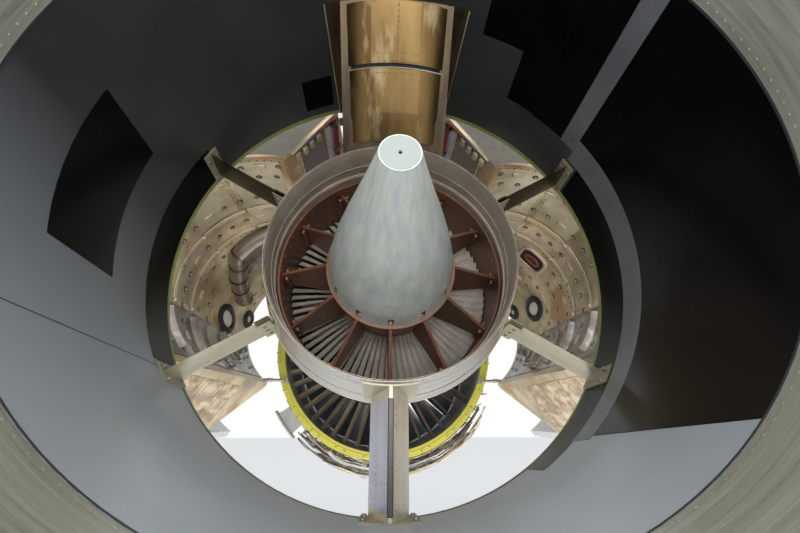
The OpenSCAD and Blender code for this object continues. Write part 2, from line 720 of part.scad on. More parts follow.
// Pylon beam over the engine with lugs for the door hinges and four mount holes
beam_w = 240;
beam_y = 1010;
beam_h = 130;
mount_hole_r = 12;
mount_hole_x = 80;
mount_hole_z = 600;
module pylon_beam() {
    t = 12;
    lug_r = 30;
    beam_z0 = duct_z0 + 8;
    beam_z1 = door_z1 - 20;
    mid_z = (beam_z0 + beam_z1) / 2;
    color([0.55, 0.50, 0.52]) engine() difference() {
        union() {
            translate([-beam_w / 2, beam_y, beam_z0]) cube([beam_w, beam_h, beam_z1 - beam_z0]);
            for (z = hinge_stations) for (side = [-1, 1]) for (end = [-1, 1])
                translate([0, 0, z + end * (hinge_arm_w + lug_w) / 2 + end * 2 - lug_w / 2]) union() {
                    translate([side * hinge_x, hinge_y, 0]) stud(lug_r, lug_w);
                    translate([min(side * 100, side * hinge_x), hinge_y, 0])
                        cube([hinge_x - 100, lug_r, lug_w]);
                    translate([min(side * 100, side * 140), beam_y - 10, 0]) cube([40, 60, lug_w]);
                }
        }
        translate([-beam_w / 2 + t, beam_y + t, beam_z0 - 1])
            cube([beam_w - 2 * t, beam_h - 2 * t, beam_z1 - beam_z0 + 2]);
        for (z = hinge_stations) for (side = [-1, 1])
            translate([side * hinge_x, hinge_y, z - hinge_pin_len / 2 - 1])
                stud(hinge_pin_r, hinge_pin_len + 2);
        for (x = [-mount_hole_x, mount_hole_x]) for (z = [-mount_hole_z, mount_hole_z])
            translate([x, beam_y + beam_h / 2, mid_z + z]) rotate([-90, 0, 0])
                stud(mount_hole_r, beam_h);
    }
}

module door_hinge_pins() {
    color([0.65, 0.65, 0.62]) engine() for (z = hinge_stations) for (side = [-1, 1])
        translate([side * hinge_x, hinge_y, z - hinge_pin_len / 2])
            stud(hinge_pin_r, hinge_pin_len);
}

// Front mount: a bolted ring on the compressor case flange with two legs to the beam
module front_mount() {
    z0 = duct_z0 + 12;
    t = 28;
    out_r = compressor_front_r + core_flange_h + 12;
    in_r = compressor_front_r + 5;
    color([0.50, 0.48, 0.44]) engine() difference() {
        union() {
            translate([0, 0, z0]) cylinder(h = t, r = out_r, $fn = fine);
            for (side = [-1, 1]) translate([side * 60 - 15, in_r, z0])
                cube([30, beam_y - in_r, t]);
            translate([-beam_w / 2 + 10, beam_y - 40, z0]) cube([beam_w - 20, 40, t]);
        }
        translate([0, 0, z0 - 1]) cylinder(h = t + 2, r = in_r, $fn = fine);
        translate([-out_r - 1, -out_r - 1, z0 - 1]) cube([2 * out_r + 2, out_r + 12, t + 2]);
    }
}

// Rear mount: a saddle on the turbine case flange with two links to the beam
module rear_mount() {
    t = 30;
    z0 = exh_z - 12 - t;
    saddle_r = lpt_rear_r + core_flange_h / 2;
    color([0.50, 0.48, 0.44]) engine() difference() {
        union() {
            for (side = [-1, 1]) translate([side * 70 - 12, saddle_r - 30, z0])
                cube([24, beam_y - saddle_r + 30, t]);
            translate([-beam_w / 2 + 22, beam_y - 34, z0]) cube([beam_w - 44, 34, t]);
            translate([-beam_w / 2 + 22, saddle_r - 30, z0]) cube([beam_w - 44, 62, t]);
        }
        translate([0, 0, z0 - 1]) cylinder(h = t + 2, r = saddle_r, $fn = fine);
    }
}

// Gearbox under the fan case with its accessories on the front and rear faces
box_r = case_in_r + fan_case_wall + 34;
box_z0 = 640;
box_z1 = 860;
module gearbox_shape(r0, r1, from, to) {
    part_turned([[r0, box_z0], [r1, box_z0], [r1, box_z1], [r0, box_z1]], from, to);
}

module accessory_gearbox() {
    out_r = case_in_r + fan_case_wall;
    foot_z = 530;
    color([0.55, 0.55, 0.50]) engine() union() {
        gearbox_shape(box_r, box_r + 95, 236, 304);
        for (a = [240, 270, 300]) rotate([0, 0, a]) {
            translate([out_r + 0.3, -20, foot_z]) cube([70, 40, 60]);
            translate([out_r + 40, -12, foot_z + 10]) cube([30, 24, box_z0 - foot_z]);
        }
    }
}

module drum(angle, z0, z1, r, inset = 0) {
    rotate([0, 0, angle]) translate([box_r + 48, 0, z0]) union() {
        stud(r, z1 - z0);
        translate([0, 0, inset]) stud(r + 6, 8);
    }
}

module starter() {
    color([0.62, 0.62, 0.60]) engine() drum(250, box_z1, box_z1 + 150, 48);
}

module generator() {
    color([0.40, 0.40, 0.38]) engine() drum(262, box_z1, box_z1 + 210, 56);
}

module fuel_pump() {
    color([0.60, 0.58, 0.50]) engine() drum(280, box_z1, box_z1 + 130, 50);
}

module oil_tank() {
    foot_r = case_in_r + fan_case_wall;
    color([0.66, 0.66, 0.62]) engine() union() {
        part_turned([[foot_r + 22, 300], [foot_r + 110, 300], [foot_r + 110, 540],
            [foot_r + 22, 540]], 196, 224);
        for (a = [200, 220]) rotate([0, 0, a]) translate([foot_r + seat_gap, -15, 480])
            cube([28, 30, 30]);
    }
}

// Bleed duct that leaves the compressor and climbs beside it
module bleed_duct() {
    pipe_r = 38;
    bend_r = 96;
    collar_r = 42;
    collar_t = 16;
    bend_x = compressor_rear_r + 46;
    z0 = rib_station(compressor_ribs - 0.5);
    color([0.45, 0.40, 0.34]) engine() rotate([0, 0, 160]) difference() {
        union() {
            translate([comp_r(z0) - 10, 0, z0]) rotate([0, 90, 0])
                stud(pipe_r - 2, bend_x - comp_r(z0) + 10);
            translate([bend_x - collar_t / 2, 0, z0]) rotate([0, 90, 0]) stud(collar_r, collar_t);
            translate([bend_x, 0, z0]) rotate([90, 0, 0]) translate([0, bend_r, 0])
                rotate([0, 0, -90]) rotate_extrude(angle = 90, $fn = 96) translate([bend_r, 0])
                    circle(r = pipe_r, $fn = small);
            translate([bend_x + bend_r, 0, z0 + bend_r - collar_t / 2]) stud(collar_r, collar_t);
            translate([bend_x + bend_r, 0, z0 + bend_r]) stud(pipe_r - 2, 220);
        }
        translate([0, 0, duct_z0]) cylinder(h = compressor_len,
            r1 = compressor_front_r + touch_gap, r2 = compressor_rear_r + touch_gap, $fn = fine);
    }
}

// Pipes round the outside of the fan case
module fan_case_pipes() {
    foot_r = case_rear_in_r + fan_case_wall;
    runs = [[1065, 9, 210, 330], [1095, 12, 218, 322], [945, 8, 200, 340], [975, 10, 226, 316]];
    color([0.50, 0.42, 0.32]) engine() for (run = runs)
        rotate([0, 0, run[2]]) union() {
            translate([0, 0, run[0]]) rotate_extrude(angle = run[3] - run[2], $fn = fine)
                translate([foot_r + 14 + run[1], 0]) circle(r = run[1], $fn = small);
            for (a = [4 : 26 : run[3] - run[2]]) rotate([0, 0, a])
                translate([foot_r + seat_gap, -9, run[0] - 9]) cube([18, 18, 18]);
        }
}

module bearing(z, width, shaft_r, seat_r) {
    ring(seat_r, shaft_r + bearing_clearance, z, z + width);
}

module front_bearings() {
    color([0.75, 0.75, 0.76]) engine() {
        bearing(duct_z0 - 120, 40, lp_shaft_r, frame_bore_r);
        bearing(duct_z0 - 60, 40, core_shaft_r, frame_bore_r);
    }
}

module rear_bearings() {
    color([0.75, 0.75, 0.76]) engine() bearing(exh_z + 40, 36, lp_shaft_r, core_shaft_r + 40);
}

// Low pressure spool
module spinner() {
    steps = 6;
    z1 = fan_disc_z0;
    base_r = fan_disc_r - 4;
    t = 6;
    function nose(inset) = [for (i = [0 : steps]) let (a = 90 * i / steps)
        [(base_r - inset) * sin(a), z1 - (spinner_len - inset) * pow(cos(a), 1.3)]];
    color([0.20, 0.20, 0.21]) engine() turned(concat(nose(0),
        [for (i = [steps : -1 : 0]) nose(t)[i]]));
}

module fan_disc() {
    color([0.55, 0.55, 0.56]) engine() difference() {
        union() {
            flat_sided(fan_blade_count, fan_disc_r, fan_disc_z0, fan_disc_z1);
            translate([0, 0, fan_disc_z1]) cylinder(h = 60, r = 150, $fn = fine);
        }
        translate([0, 0, fan_disc_z0 - 1]) cylinder(h = 260, r = lp_shaft_r, $fn = fine);
        translate([0, 0, fan_disc_z0 - 1]) cylinder(h = 50, r = 180, $fn = fine);
    }
}

module fan_blades() {
    span = fan_tip_r - fan_disc_r;
    levels = [for (u = [0, 0.25, 0.5, 0.75, 1])
        [fan_disc_r + span * u, foil(fan_root_chord + (fan_tip_chord - fan_root_chord) * u,
            20 - 13 * u, 12 - 9 * u, 14 + 44 * u)]];
    tip = fan_tip_r * fan_tip_r - pow(fan_tip_chord / 2 * sin(58) + 6, 2);
    color([0.32, 0.33, 0.35]) engine() around(fan_blade_count)
        twisted_blade(fan_mid_z, [for (i = [0 : 4]) i < 4 ? levels[i] : [sqrt(tip), levels[4][1]]]);
}

// Booster drum with three rows of blades on its flat sided rims
module booster_rotor() {
    rows = [splitter_z + 100, splitter_z + 190, splitter_z + 280];
    drum_r = 330;
    count = 36;
    color([0.50, 0.51, 0.52]) engine() union() {
        difference() {
            flat_sided(count, drum_r, splitter_z + 60, splitter_z + 320);
            translate([0, 0, splitter_z + 50]) cylinder(h = 300, r = drum_r - 14, $fn = fine);
        }
        ring(drum_r - 8, 150, splitter_z + 60, splitter_z + 72);
        ring(150, 138, fan_disc_z1 + 60, splitter_z + 72);
        ring(150, lp_shaft_r, fan_disc_z1 + 60, fan_disc_z1 + 72);
        for (z = rows) around(count)
            straight_blade(drum_r + root_clearance, booster_blade_r - 2, z,
                foil(44, 5, 3, 30, coarse_steps));
    }
}

module lp_shaft() {
    bore_r = 35;
    color([0.62, 0.62, 0.64]) engine() ring(lp_shaft_r, bore_r, fan_disc_z0 + 51, exh_z + 100);
}

// Low pressure turbine discs and drum, with the rim that carries the last blades
module lp_turbine_rotor() {
    stages = [[lpt_z + 50, 240, 386], [lpt_z + 130, 234, 398], [lpt_z + 210, 228, 412],
        [lpt_z + 280, 221, 424]];
    count = 48;
    blade_gap = 6;
    drum_out_r = 205;
    color([0.40, 0.38, 0.36]) engine() union() {
        flat_rim(last_disc_r, last_blade_count, last_blade_z - 26, last_blade_z + 26,
            last_disc_r - 22);
        ring(last_disc_r - 8, lp_shaft_r, last_blade_z - 10, last_blade_z + 10);
        for (s = stages) {
            flat_rim(s[1], count, s[0] - 20, s[0] + 20, drum_out_r - 4);
            around(count) straight_blade(s[1] + root_clearance, s[2] - blade_gap, s[0],
                foil(34, 5, 5, -28, coarse_steps));
        }
        ring(drum_out_r, drum_out_r - 14, stages[0][0] - 10, last_blade_z);
    }
}

module flat_rim(r, count, z0, z1, in_r) {
    difference() {
        flat_sided(count, r, z0, z1);
        translate([0, 0, z0 - 1]) cylinder(h = z1 - z0 + 2, r = in_r, $fn = fine);
    }
}

module last_stage_blades() {
    tip = sqrt(pow(last_blade_tip_r, 2) - 16 * 16);
    span = tip - last_disc_r;
    levels = [for (u = [0, 0.5, 1])
        [last_disc_r + span * u, foil(50 - 6 * u, 7 - 4 * u, 7 - 4 * u, -18 - 24 * u)]];
    color([0.62, 0.60, 0.56]) engine() around(last_blade_count) twisted_blade(last_blade_z, levels);
}

// High pressure spool: a stepped drum of flat sided rims, each with a row of blades
module compressor_rotor() {
    rows = 7;
    count = 32;
    drum_front_r = 205;
    drum_rear_r = 235;
    z0 = duct_z0 + 20;
    z1 = comb_z - 20;
    pitch = (z1 - z0) / rows;
    chord = 30;
    function row_r(i) = drum_front_r + (drum_rear_r - drum_front_r) * i / (rows - 1);
    function tip_r(z) = compressor_front_r - core_wall - tip_gap
        - (compressor_front_r - compressor_rear_r) * (z - duct_z0) / compressor_len;
    color([0.52, 0.50, 0.48]) engine() {
        union() {
            for (i = [0 : rows - 1]) let (z = z0 + pitch * i) difference() {
                flat_sided(count, row_r(i), z, z + pitch);
                translate([0, 0, z - 1]) cylinder(h = pitch + 2, r = drum_front_r - 12, $fn = fine);
            }
            ring(drum_front_r - 4, core_shaft_in_r, z0, z0 + 14);
            ring(drum_front_r - 4, core_shaft_in_r, z1 - 14, z1);
            ring(core_shaft_r, core_shaft_in_r, duct_z0 - 60, front_turbine_z + 20);
        }
        for (i = [0 : rows - 1]) let (z = z0 + pitch * (i + 0.5)) around(count)
            straight_blade(row_r(i) + root_clearance, tip_r(z + chord / 2) - 4, z,
                foil(chord, 4, 2, 38, coarse_steps));
    }
}

module front_turbine_rotor() {
    z = front_turbine_z + 58;
    rim_r = 250;
    count = 48;
    color([0.42, 0.38, 0.34]) engine() union() {
        flat_rim(rim_r, count, z - 26, z + 26, rim_r - 22);
        ring(rim_r - 12, core_shaft_in_r, z - 12, z + 12);
        ring(core_shaft_r, core_shaft_in_r, front_turbine_z + 20, z);
        around(count) straight_blade(rim_r + root_clearance, combustor_r - core_wall - 22, z,
            foil(44, 8, 7, -30, coarse_steps));
    }
}

// Duct doors: drawn shut, then turned open about their hinge
module opened(side) {
    translate([side * hinge_x, hinge_y, 0]) rotate([0, 0, side * door_open])
        translate([-side * hinge_x, -hinge_y, 0]) mirror([side > 0 ? 1 : 0, 0, 0]) children();
}

function edge_angle(x, r) = 90 + asin(x / r);

// Curved inner wall with its flat upper and lower walls, drawn for the left side
module door_inner_shape() {
    r0 = inner_wall_front_r;
    r1 = inner_wall_aft_r;
    t = door_inner_t;
    z0 = door_inner_z0;
    z1 = inner_wall_z1;
    slant = 440;
    top_x = door_top_half_w + t;
    low_x = door_bottom_gap / 2 + t;
    top_y = sqrt(pow(door_outer_r, 2) - pow(top_x, 2)) - seat_gap;
    low_y = -sqrt(pow(door_outer_r, 2) - pow(low_x, 2)) + seat_gap;
    function foot(r, x) = sqrt(pow(r, 2) - pow(x, 2));
    difference() {
        part_turned([[r0, z0], [r0 + t, z0], [r1 + t, z1], [r1, z1]], 95, 269);
        translate([-top_x - touch_gap, 0, z0 - 1]) cube([top_x, 2 * r1, z1 - z0 + 2]);
        translate([-low_x - touch_gap, -2 * r1, z0 - 1]) cube([top_x, 2 * r1, z1 - z0 + 2]);
    }
    translate([-door_top_half_w, 0, 0]) rotate([0, -90, 0]) linear_extrude(t)
        polygon([[z0, foot(r0, top_x)], [z1, foot(r1, top_x)], [z1, top_y], [z0, top_y]]);
    translate([-door_bottom_gap / 2, 0, 0]) rotate([0, -90, 0]) linear_extrude(t)
        polygon([[z0, -foot(r0, low_x)], [z1, -foot(r1, low_x)], [z1, low_y],
            [z0 + slant, low_y], [z0, -r0 - 40]]);
}

// Outline of the door's outer skin from front to back
door_out_r = door_outer_r + door_wall_t;
door_aft_r = nozzle_front_r + lining_t + skin_t + 3;
door_skin = [[door_out_r, door_z0], [door_out_r + 12, door_z0 + 500],
    [door_out_r, door_z1 - 300], [door_aft_r + 10, door_z1 + 40]];

// Outer wall with its rear edge and the lug for the hold open rod
module door_outer_shape() {
    top = edge_angle(door_top_half_w + door_inner_t + 6, door_outer_r);
    bottom = 270 - asin((door_bottom_gap / 2 + 1) / door_outer_r);
    lug_t = 20;
    lug_z = rod_z + rod_r + 1.5;
    lug_r = 22;
    union() {
        part_turned(concat([[door_outer_r, door_z0]], door_skin, [[door_aft_r, door_z1 + 40],
            [door_aft_r, door_z1 - 10], [door_outer_r, door_z1 - 40]]), top, bottom);
        rotate([0, 0, rod_pivot_angle]) translate([rod_pivot_r, 0, 0]) union() {
            translate([0, -lug_r, lug_z])
                cube([door_outer_r - rod_pivot_r + 6, 2 * lug_r, lug_t]);
            translate([0, 0, lug_z]) stud(lug_r, lug_t);
            translate([0, 0, rod_z - rod_eye_t / 2 - 4])
                stud(rod_pin_r, lug_z - rod_z + rod_eye_t / 2 + 8);
        }
    }
}

module left_inner_wall() {
    color([0.55, 0.47, 0.33]) engine() opened(-1) door_inner_shape();
}

module right_inner_wall() {
    color([0.55, 0.47, 0.33]) engine() opened(1) door_inner_shape();
}

module left_outer_wall() {
    color([0.80, 0.81, 0.80]) engine() opened(-1) door_outer_shape();
}

module right_outer_wall() {
    color([0.80, 0.81, 0.80]) engine() opened(1) door_outer_shape();
}

// Hinge arms that carry a door on its three pins
module door_hinge_shape() {
    foot = edge_angle(door_top_half_w + 60, door_outer_r + door_wall_t);
    out_r = door_outer_r + door_wall_t;
    eye_r = 26;
    for (z = hinge_stations) difference() {
        union() {
            translate([-hinge_x, hinge_y, z - hinge_arm_w / 2]) stud(eye_r, hinge_arm_w);
            translate([0, 0, z - hinge_arm_w / 2]) linear_extrude(hinge_arm_w)
                polygon([[-hinge_x - 4, hinge_y + eye_r - 2], [-hinge_x - 22, hinge_y - 14],
                    (out_r - 20) * [cos(foot + 1), sin(foot + 1)],
                    (out_r - 20) * [cos(foot + 9), sin(foot + 9)],
                    (out_r + 26) * [cos(foot + 9), sin(foot + 9)]]);
        }
        translate([-hinge_x, hinge_y, z - hinge_arm_w]) stud(hinge_pin_r + pin_clearance, 2 * hinge_arm_w);
        turned(concat([[0, door_z0]], door_skin, [[0, door_z1 + 40]]));
    }
}

module left_hinge_arms() {
    color([0.60, 0.60, 0.58]) engine() opened(-1) door_hinge_shape();
}

module right_hinge_arms() {
    color([0.60, 0.60, 0.58]) engine() opened(1) door_hinge_shape();
}

// Hold open rod with an eye at each end, drawn on the shut door and swung out
module hold_open_rod_shape() {
    translate([rod_pivot[0], rod_pivot[1], rod_z]) rotate([0, 0, rod_stow + rod_stow_turn])
        difference() {
            union() {
                for (x = [0, rod_len]) translate([x, 0, -rod_eye_t / 2]) stud(rod_eye_r, rod_eye_t);
                translate([rod_eye_r - 3, 0, 0]) rotate([0, 90, 0])
                    stud(rod_r, rod_len - 2 * rod_eye_r + 6);
                translate([rod_len * 0.45, 0, 0]) rotate([0, 90, 0]) stud(rod_eye_t / 2, 60);
            }
            translate([0, 0, -rod_eye_t]) stud(rod_pin_r + pin_clearance, 2 * rod_eye_t);
            translate([rod_len, 0, -rod_eye_t]) stud(rod_pin_r, 2 * rod_eye_t);
        }
}

module left_hold_open_rod() {
    color([0.70, 0.70, 0.68]) engine() opened(-1) hold_open_rod_shape();
}

module right_hold_open_rod() {
    color([0.70, 0.70, 0.68]) engine() opened(1) hold_open_rod_shape();
}

fan_case();
fan_liner();
rear_flange_ring();
outlet_guide_vanes();
fan_frame();
splitter();
booster_case();
compressor_case();
combustor_case();
combustor_liner();
fuel_nozzles();
front_turbine_case();
lp_turbine_case();
exhaust_case();
tail_cone();
tail_cone_bolts();
primary_nozzle();
nozzle_front_ring();
nozzle_lining();
nozzle_skin();
nozzle_trailing_ring();
upper_left_strut();
upper_right_strut();
lower_left_strut();
lower_right_strut();
bottom_strut();
strut_end_plates();
strut_bolts();
pylon_fairing();
pylon_beam();
front_mount();
rear_mount();
accessory_gearbox();
starter();
generator();
fuel_pump();
oil_tank();
bleed_duct();
fan_case_pipes();
front_bearings();
rear_bearings();
door_hinge_pins();
spinner();
fan_disc();
fan_blades();
booster_rotor();
lp_shaft();
lp_turbine_rotor();
last_stage_blades();
compressor_rotor();
front_turbine_rotor();
left_inner_wall();
left_outer_wall();
left_hinge_arms();
right_inner_wall();
right_outer_wall();
right_hinge_arms();
left_hold_open_rod();
right_hold_open_rod();
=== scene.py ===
import math
import random

import bmesh
import bpy
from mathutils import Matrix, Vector


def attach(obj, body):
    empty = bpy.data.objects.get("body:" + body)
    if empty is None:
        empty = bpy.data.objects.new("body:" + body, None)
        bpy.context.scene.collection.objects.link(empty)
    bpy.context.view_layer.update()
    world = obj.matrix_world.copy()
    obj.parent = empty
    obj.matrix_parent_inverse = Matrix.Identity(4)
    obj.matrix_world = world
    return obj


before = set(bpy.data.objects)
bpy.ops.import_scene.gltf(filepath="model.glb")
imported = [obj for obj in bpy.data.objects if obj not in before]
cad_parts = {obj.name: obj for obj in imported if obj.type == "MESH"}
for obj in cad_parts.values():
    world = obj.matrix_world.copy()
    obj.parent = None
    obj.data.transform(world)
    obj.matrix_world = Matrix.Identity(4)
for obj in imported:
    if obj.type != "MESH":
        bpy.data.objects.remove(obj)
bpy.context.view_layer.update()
draw = random.Random(7)
MM = 0.001

# Sizes in millimetres, stations measured aft from the front flange of the fan case
FAN_CASE_R, FAN_CASE_AFT_R = 839, 815
RING_FACE = 1200
NOZZLE_START, NOZZLE_END = 2827, 3938
NOZZLE_FRONT_R, NOZZLE_EXIT_R = 852, 732
LINING_START, LINING_END = 2852, 3718
EXHAUST_LIP, PRIMARY_START, PRIMARY_RIM = 2829, 2778, 3048
PRIMARY_FRONT_R, PRIMARY_RIM_R, PRIMARY_WALL = 505, 442, 5
CONE_TIP, CONE_TIP_R = 3579, 50
DOOR_START, DOOR_END = 1240, 2766
INNER_FRONT_R, INNER_AFT_R = 476, 511
DOOR_OUTER_R = 880
HINGE = (-170, 985)
DOOR_ANGLE = 35


def row(x, y, z):
    """A point given as right, up and aft, in the row frame."""
    return Vector((x * MM, -z * MM, y * MM))


def on_engine(r, angle, z):
    a = math.radians(angle)
    return row(r * math.cos(a), r * math.sin(a), z)


def on_door(side):
    """Where a point of the shut left door lies on the open door of that side."""

    def place(x, y, z):
        a = math.radians(-DOOR_ANGLE)
        dx, dy = x - HINGE[0], y - HINGE[1]
        px = HINGE[0] + dx * math.cos(a) - dy * math.sin(a)
        py = HINGE[1] + dx * math.sin(a) + dy * math.cos(a)
        return row(px if side == "left" else -px, py, z)

    return place


def on_door_polar(side):
    place = on_door(side)
    return lambda r, angle, z: place(
        r * math.cos(math.radians(angle)), r * math.sin(math.radians(angle)), z
    )


def cone_between(z0, r0, z1, r1):
    return lambda z: r0 + (r1 - r0) * (z - z0) / (z1 - z0)


nozzle_r = cone_between(NOZZLE_START, NOZZLE_FRONT_R, NOZZLE_END, NOZZLE_EXIT_R)
inner_wall_r = cone_between(DOOR_START, INNER_FRONT_R, DOOR_END, INNER_AFT_R)
primary_out_r = cone_between(
    PRIMARY_START, PRIMARY_FRONT_R, PRIMARY_RIM, PRIMARY_RIM_R + PRIMARY_WALL
)


# Finishes
def fill(nt, shader, inputs):
    """Give the inputs of a shader node their values, or link them to where they come from."""
    for key, value in inputs.items():
        socket = shader.inputs[key]
        if isinstance(value, bpy.types.NodeSocket):
            nt.links.new(value, socket)
        else:
            socket.default_value = (*value, 1) if socket.type == "RGBA" else value


def node(nt, kind, inputs, **settings):
    """A new shader node with its settings and inputs. Gives its outputs."""
    made = nt.nodes.new(kind)
    for key, value in settings.items():
        setattr(made, key, value)
    fill(nt, made, inputs)
    return made.outputs


# Heights in metres over which the painted light fades in: a surface with a low colour is painted
# paler lower down, standing in for light and sky reflection from below
PAINTED_LIGHT_FROM, PAINTED_LIGHT_TO = 0.12, -0.95
STAIN_EDGE = 0.09
mats = {}


def finish(name, color, metal, rough, second, spread, grain, stretch=(1, 1, 1), bump=0.05,
           fine=180.0, rough_spread=0.12, coat=0.0, round_axis=False, stain=None,
           stain_grain=2.5, stain_level=0.54, low=None, gloss=0.5):
    """A surface whose colour, roughness and relief vary.

    The colour wanders to the second one, and spread is how softly. round_axis runs the grain
    about the engine, stain is a patchy third colour, and low is painted light: a paler colour
    that the surface fades to lower down, between the heights PAINTED_LIGHT_FROM and
    PAINTED_LIGHT_TO, in metres, standing in for light and sky reflection from below."""
    m = bpy.data.materials.new(name)
    m.use_nodes = True
    nt = m.node_tree
    spot = node(nt, "ShaderNodeTexCoord", {})["Object"]
    if round_axis:
        x, y, z = node(nt, "ShaderNodeSeparateXYZ", {0: spot})
        turn = node(nt, "ShaderNodeMath", {0: z, 1: x}, operation="ARCTAN2")[0]
        flat = node(nt, "ShaderNodeCombineXYZ", {0: x, 1: z})[0]
        length = node(nt, "ShaderNodeVectorMath", {0: flat}, operation="LENGTH")["Value"]
        spot = node(nt, "ShaderNodeCombineXYZ", {0: turn, 1: y, 2: length})[0]
    place = node(nt, "ShaderNodeMapping", {"Vector": spot, "Scale": stretch})[0]

    def noise(scale, detail):
        return node(nt, "ShaderNodeTexNoise", {"Vector": place, "Scale": scale,
                                               "Detail": detail, "Roughness": 0.6})[0]

    def blend_of(mask, first, last, kind="MIX"):
        return node(nt, "ShaderNodeMixRGB", {0: mask, 1: first, 2: last}, blend_type=kind)[0]

    def steps(source, from_min, from_max, to_min=0.0, to_max=1.0):
        return node(nt, "ShaderNodeMapRange",
                    {"Value": source, "From Min": from_min, "From Max": from_max,
                     "To Min": to_min, "To Max": to_max})[0]

    broad, close = noise(grain, 6), noise(fine, 3)
    tone = blend_of(steps(broad, 0.5 - spread, 0.5 + spread), second, color)
    # Painted light: lower down, the colour fades to the paler low colour
    if low:
        at = node(nt, "ShaderNodeNewGeometry", {})["Position"]
        height = node(nt, "ShaderNodeSeparateXYZ", {0: at})["Z"]
        tone = blend_of(steps(height, PAINTED_LIGHT_FROM, PAINTED_LIGHT_TO), tone, low)
    if stain:
        patches = noise(stain_grain, 5)
        tone = blend_of(steps(patches, stain_level, stain_level + STAIN_EDGE), tone, stain)
    relief = node(nt, "ShaderNodeBump", {"Strength": bump, "Distance": 0.002, "Height": close})
    fill(nt, nt.nodes["Principled BSDF"], {
        "Base Color": blend_of(0.2, tone, close, "MULTIPLY"),
        "Roughness": steps(broad, 0.3, 0.7, max(0.05, rough - rough_spread),
                           min(1.0, rough + rough_spread)),
        "Normal": relief[0], "Metallic": metal, "Specular IOR Level": gloss,
        "Coat Weight": coat, "Coat Roughness": 0.08})
    mats[name] = m


# The stretch that draws the grain out into rings about the engine
AROUND = (1.2, 40, 40)
# The lining and its joint strips carry painted light: a pale blue-grey low colour towards the
# bottom
finish("lining", (0.056, 0.058, 0.061), 0, 0.38, (0.040, 0.042, 0.045), 0.2, 3, bump=0.02,
       low=(0.66, 0.73, 0.80), gloss=0.4)
finish("black", (0.004, 0.004, 0.005), 0, 0.26, (0.002, 0.002, 0.003), 0.2, 3, bump=0.03, fine=700,
       rough_spread=0.05, gloss=0.10)
finish("strip", (0.20, 0.21, 0.225), 0, 0.36, (0.12, 0.13, 0.14), 0.2, 5, bump=0.02,
       low=(0.24, 0.27, 0.30))
finish("seam", (0.05, 0.054, 0.06), 0, 0.5, (0.03, 0.033, 0.038), 0.2, 12)
finish("pale_ring", (0.66, 0.68, 0.58), 0.45, 0.36, (0.46, 0.48, 0.40), 0.14, 2, AROUND, 0.06, 12,
       round_axis=True, stain=(0.54, 0.57, 0.46))
finish("green", (0.36, 0.44, 0.14), 0.0, 0.5, (0.22, 0.29, 0.08), 0.2, 9)
finish("yellow", (0.74, 0.69, 0.075), 0.0, 0.42, (0.62, 0.57, 0.06), 0.2, 9)
finish("gold", (0.90, 0.74, 0.49), 0.3, 0.38, (0.40, 0.31, 0.20), 0.12, 3.4, bump=0.12, fine=90,
       stain=(0.58, 0.36, 0.18), stain_grain=3.1)
finish("foil", (0.88, 0.72, 0.48), 0.3, 0.38, (0.42, 0.31, 0.19), 0.09, 9, (0.5, 1, 2), bump=0.5,
       fine=34, stain=(0.40, 0.26, 0.15), stain_grain=6)
finish("gold_light", (0.86, 0.76, 0.56), 0.4, 0.36, (0.56, 0.46, 0.30), 0.12, 5, bump=0.12,
       fine=110, stain=(0.48, 0.42, 0.34))
finish("gold_grey", (0.52, 0.47, 0.41), 0.5, 0.36, (0.26, 0.23, 0.20), 0.12, 5, bump=0.15, fine=90,
       stain=(0.72, 0.71, 0.70), stain_grain=7)
finish("nozzle_in", (0.90, 0.76, 0.62), 0.25, 0.42, (0.56, 0.45, 0.35), 0.14, 1.4, (1.6, 5, 5),
       0.04, 40, round_axis=True, stain=(0.68, 0.64, 0.56), stain_grain=1.8)
finish("nozzle_out", (0.56, 0.54, 0.49), 0.6, 0.36, (0.36, 0.34, 0.30), 0.14, 2, AROUND, 0.05, 14,
       round_axis=True)
finish("skin", (0.62, 0.63, 0.62), 0.5, 0.38, (0.48, 0.49, 0.48), 0.2, 2, AROUND, 0.04, 14,
       round_axis=True)
finish("cone", (0.82, 0.85, 0.79), 0.1, 0.42, (0.64, 0.69, 0.68), 0.13, 2.2, (2.2, 5, 5), 0.03, 60,
       round_axis=True, stain=(0.76, 0.77, 0.64), stain_grain=3.4, stain_level=0.55)
# The cap is painted darker than its own pale grey-green paint: painted shade that offsets the
# strong light falling square on it
finish("cone_cap", (0.45, 0.49, 0.46), 0.1, 0.4, (0.40, 0.44, 0.41), 0.2, 9)
finish("exhaust", (0.34, 0.155, 0.08), 0.2, 0.42, (0.19, 0.085, 0.05), 0.14, 6,
       stain=(0.17, 0.11, 0.075), stain_grain=4)
finish("hot_case", (0.30, 0.20, 0.13), 0.5, 0.42, (0.16, 0.11, 0.08), 0.15, 6)
finish("blade", (0.90, 0.84, 0.76), 0.1, 0.40, (0.68, 0.62, 0.55), 0.15, 16)
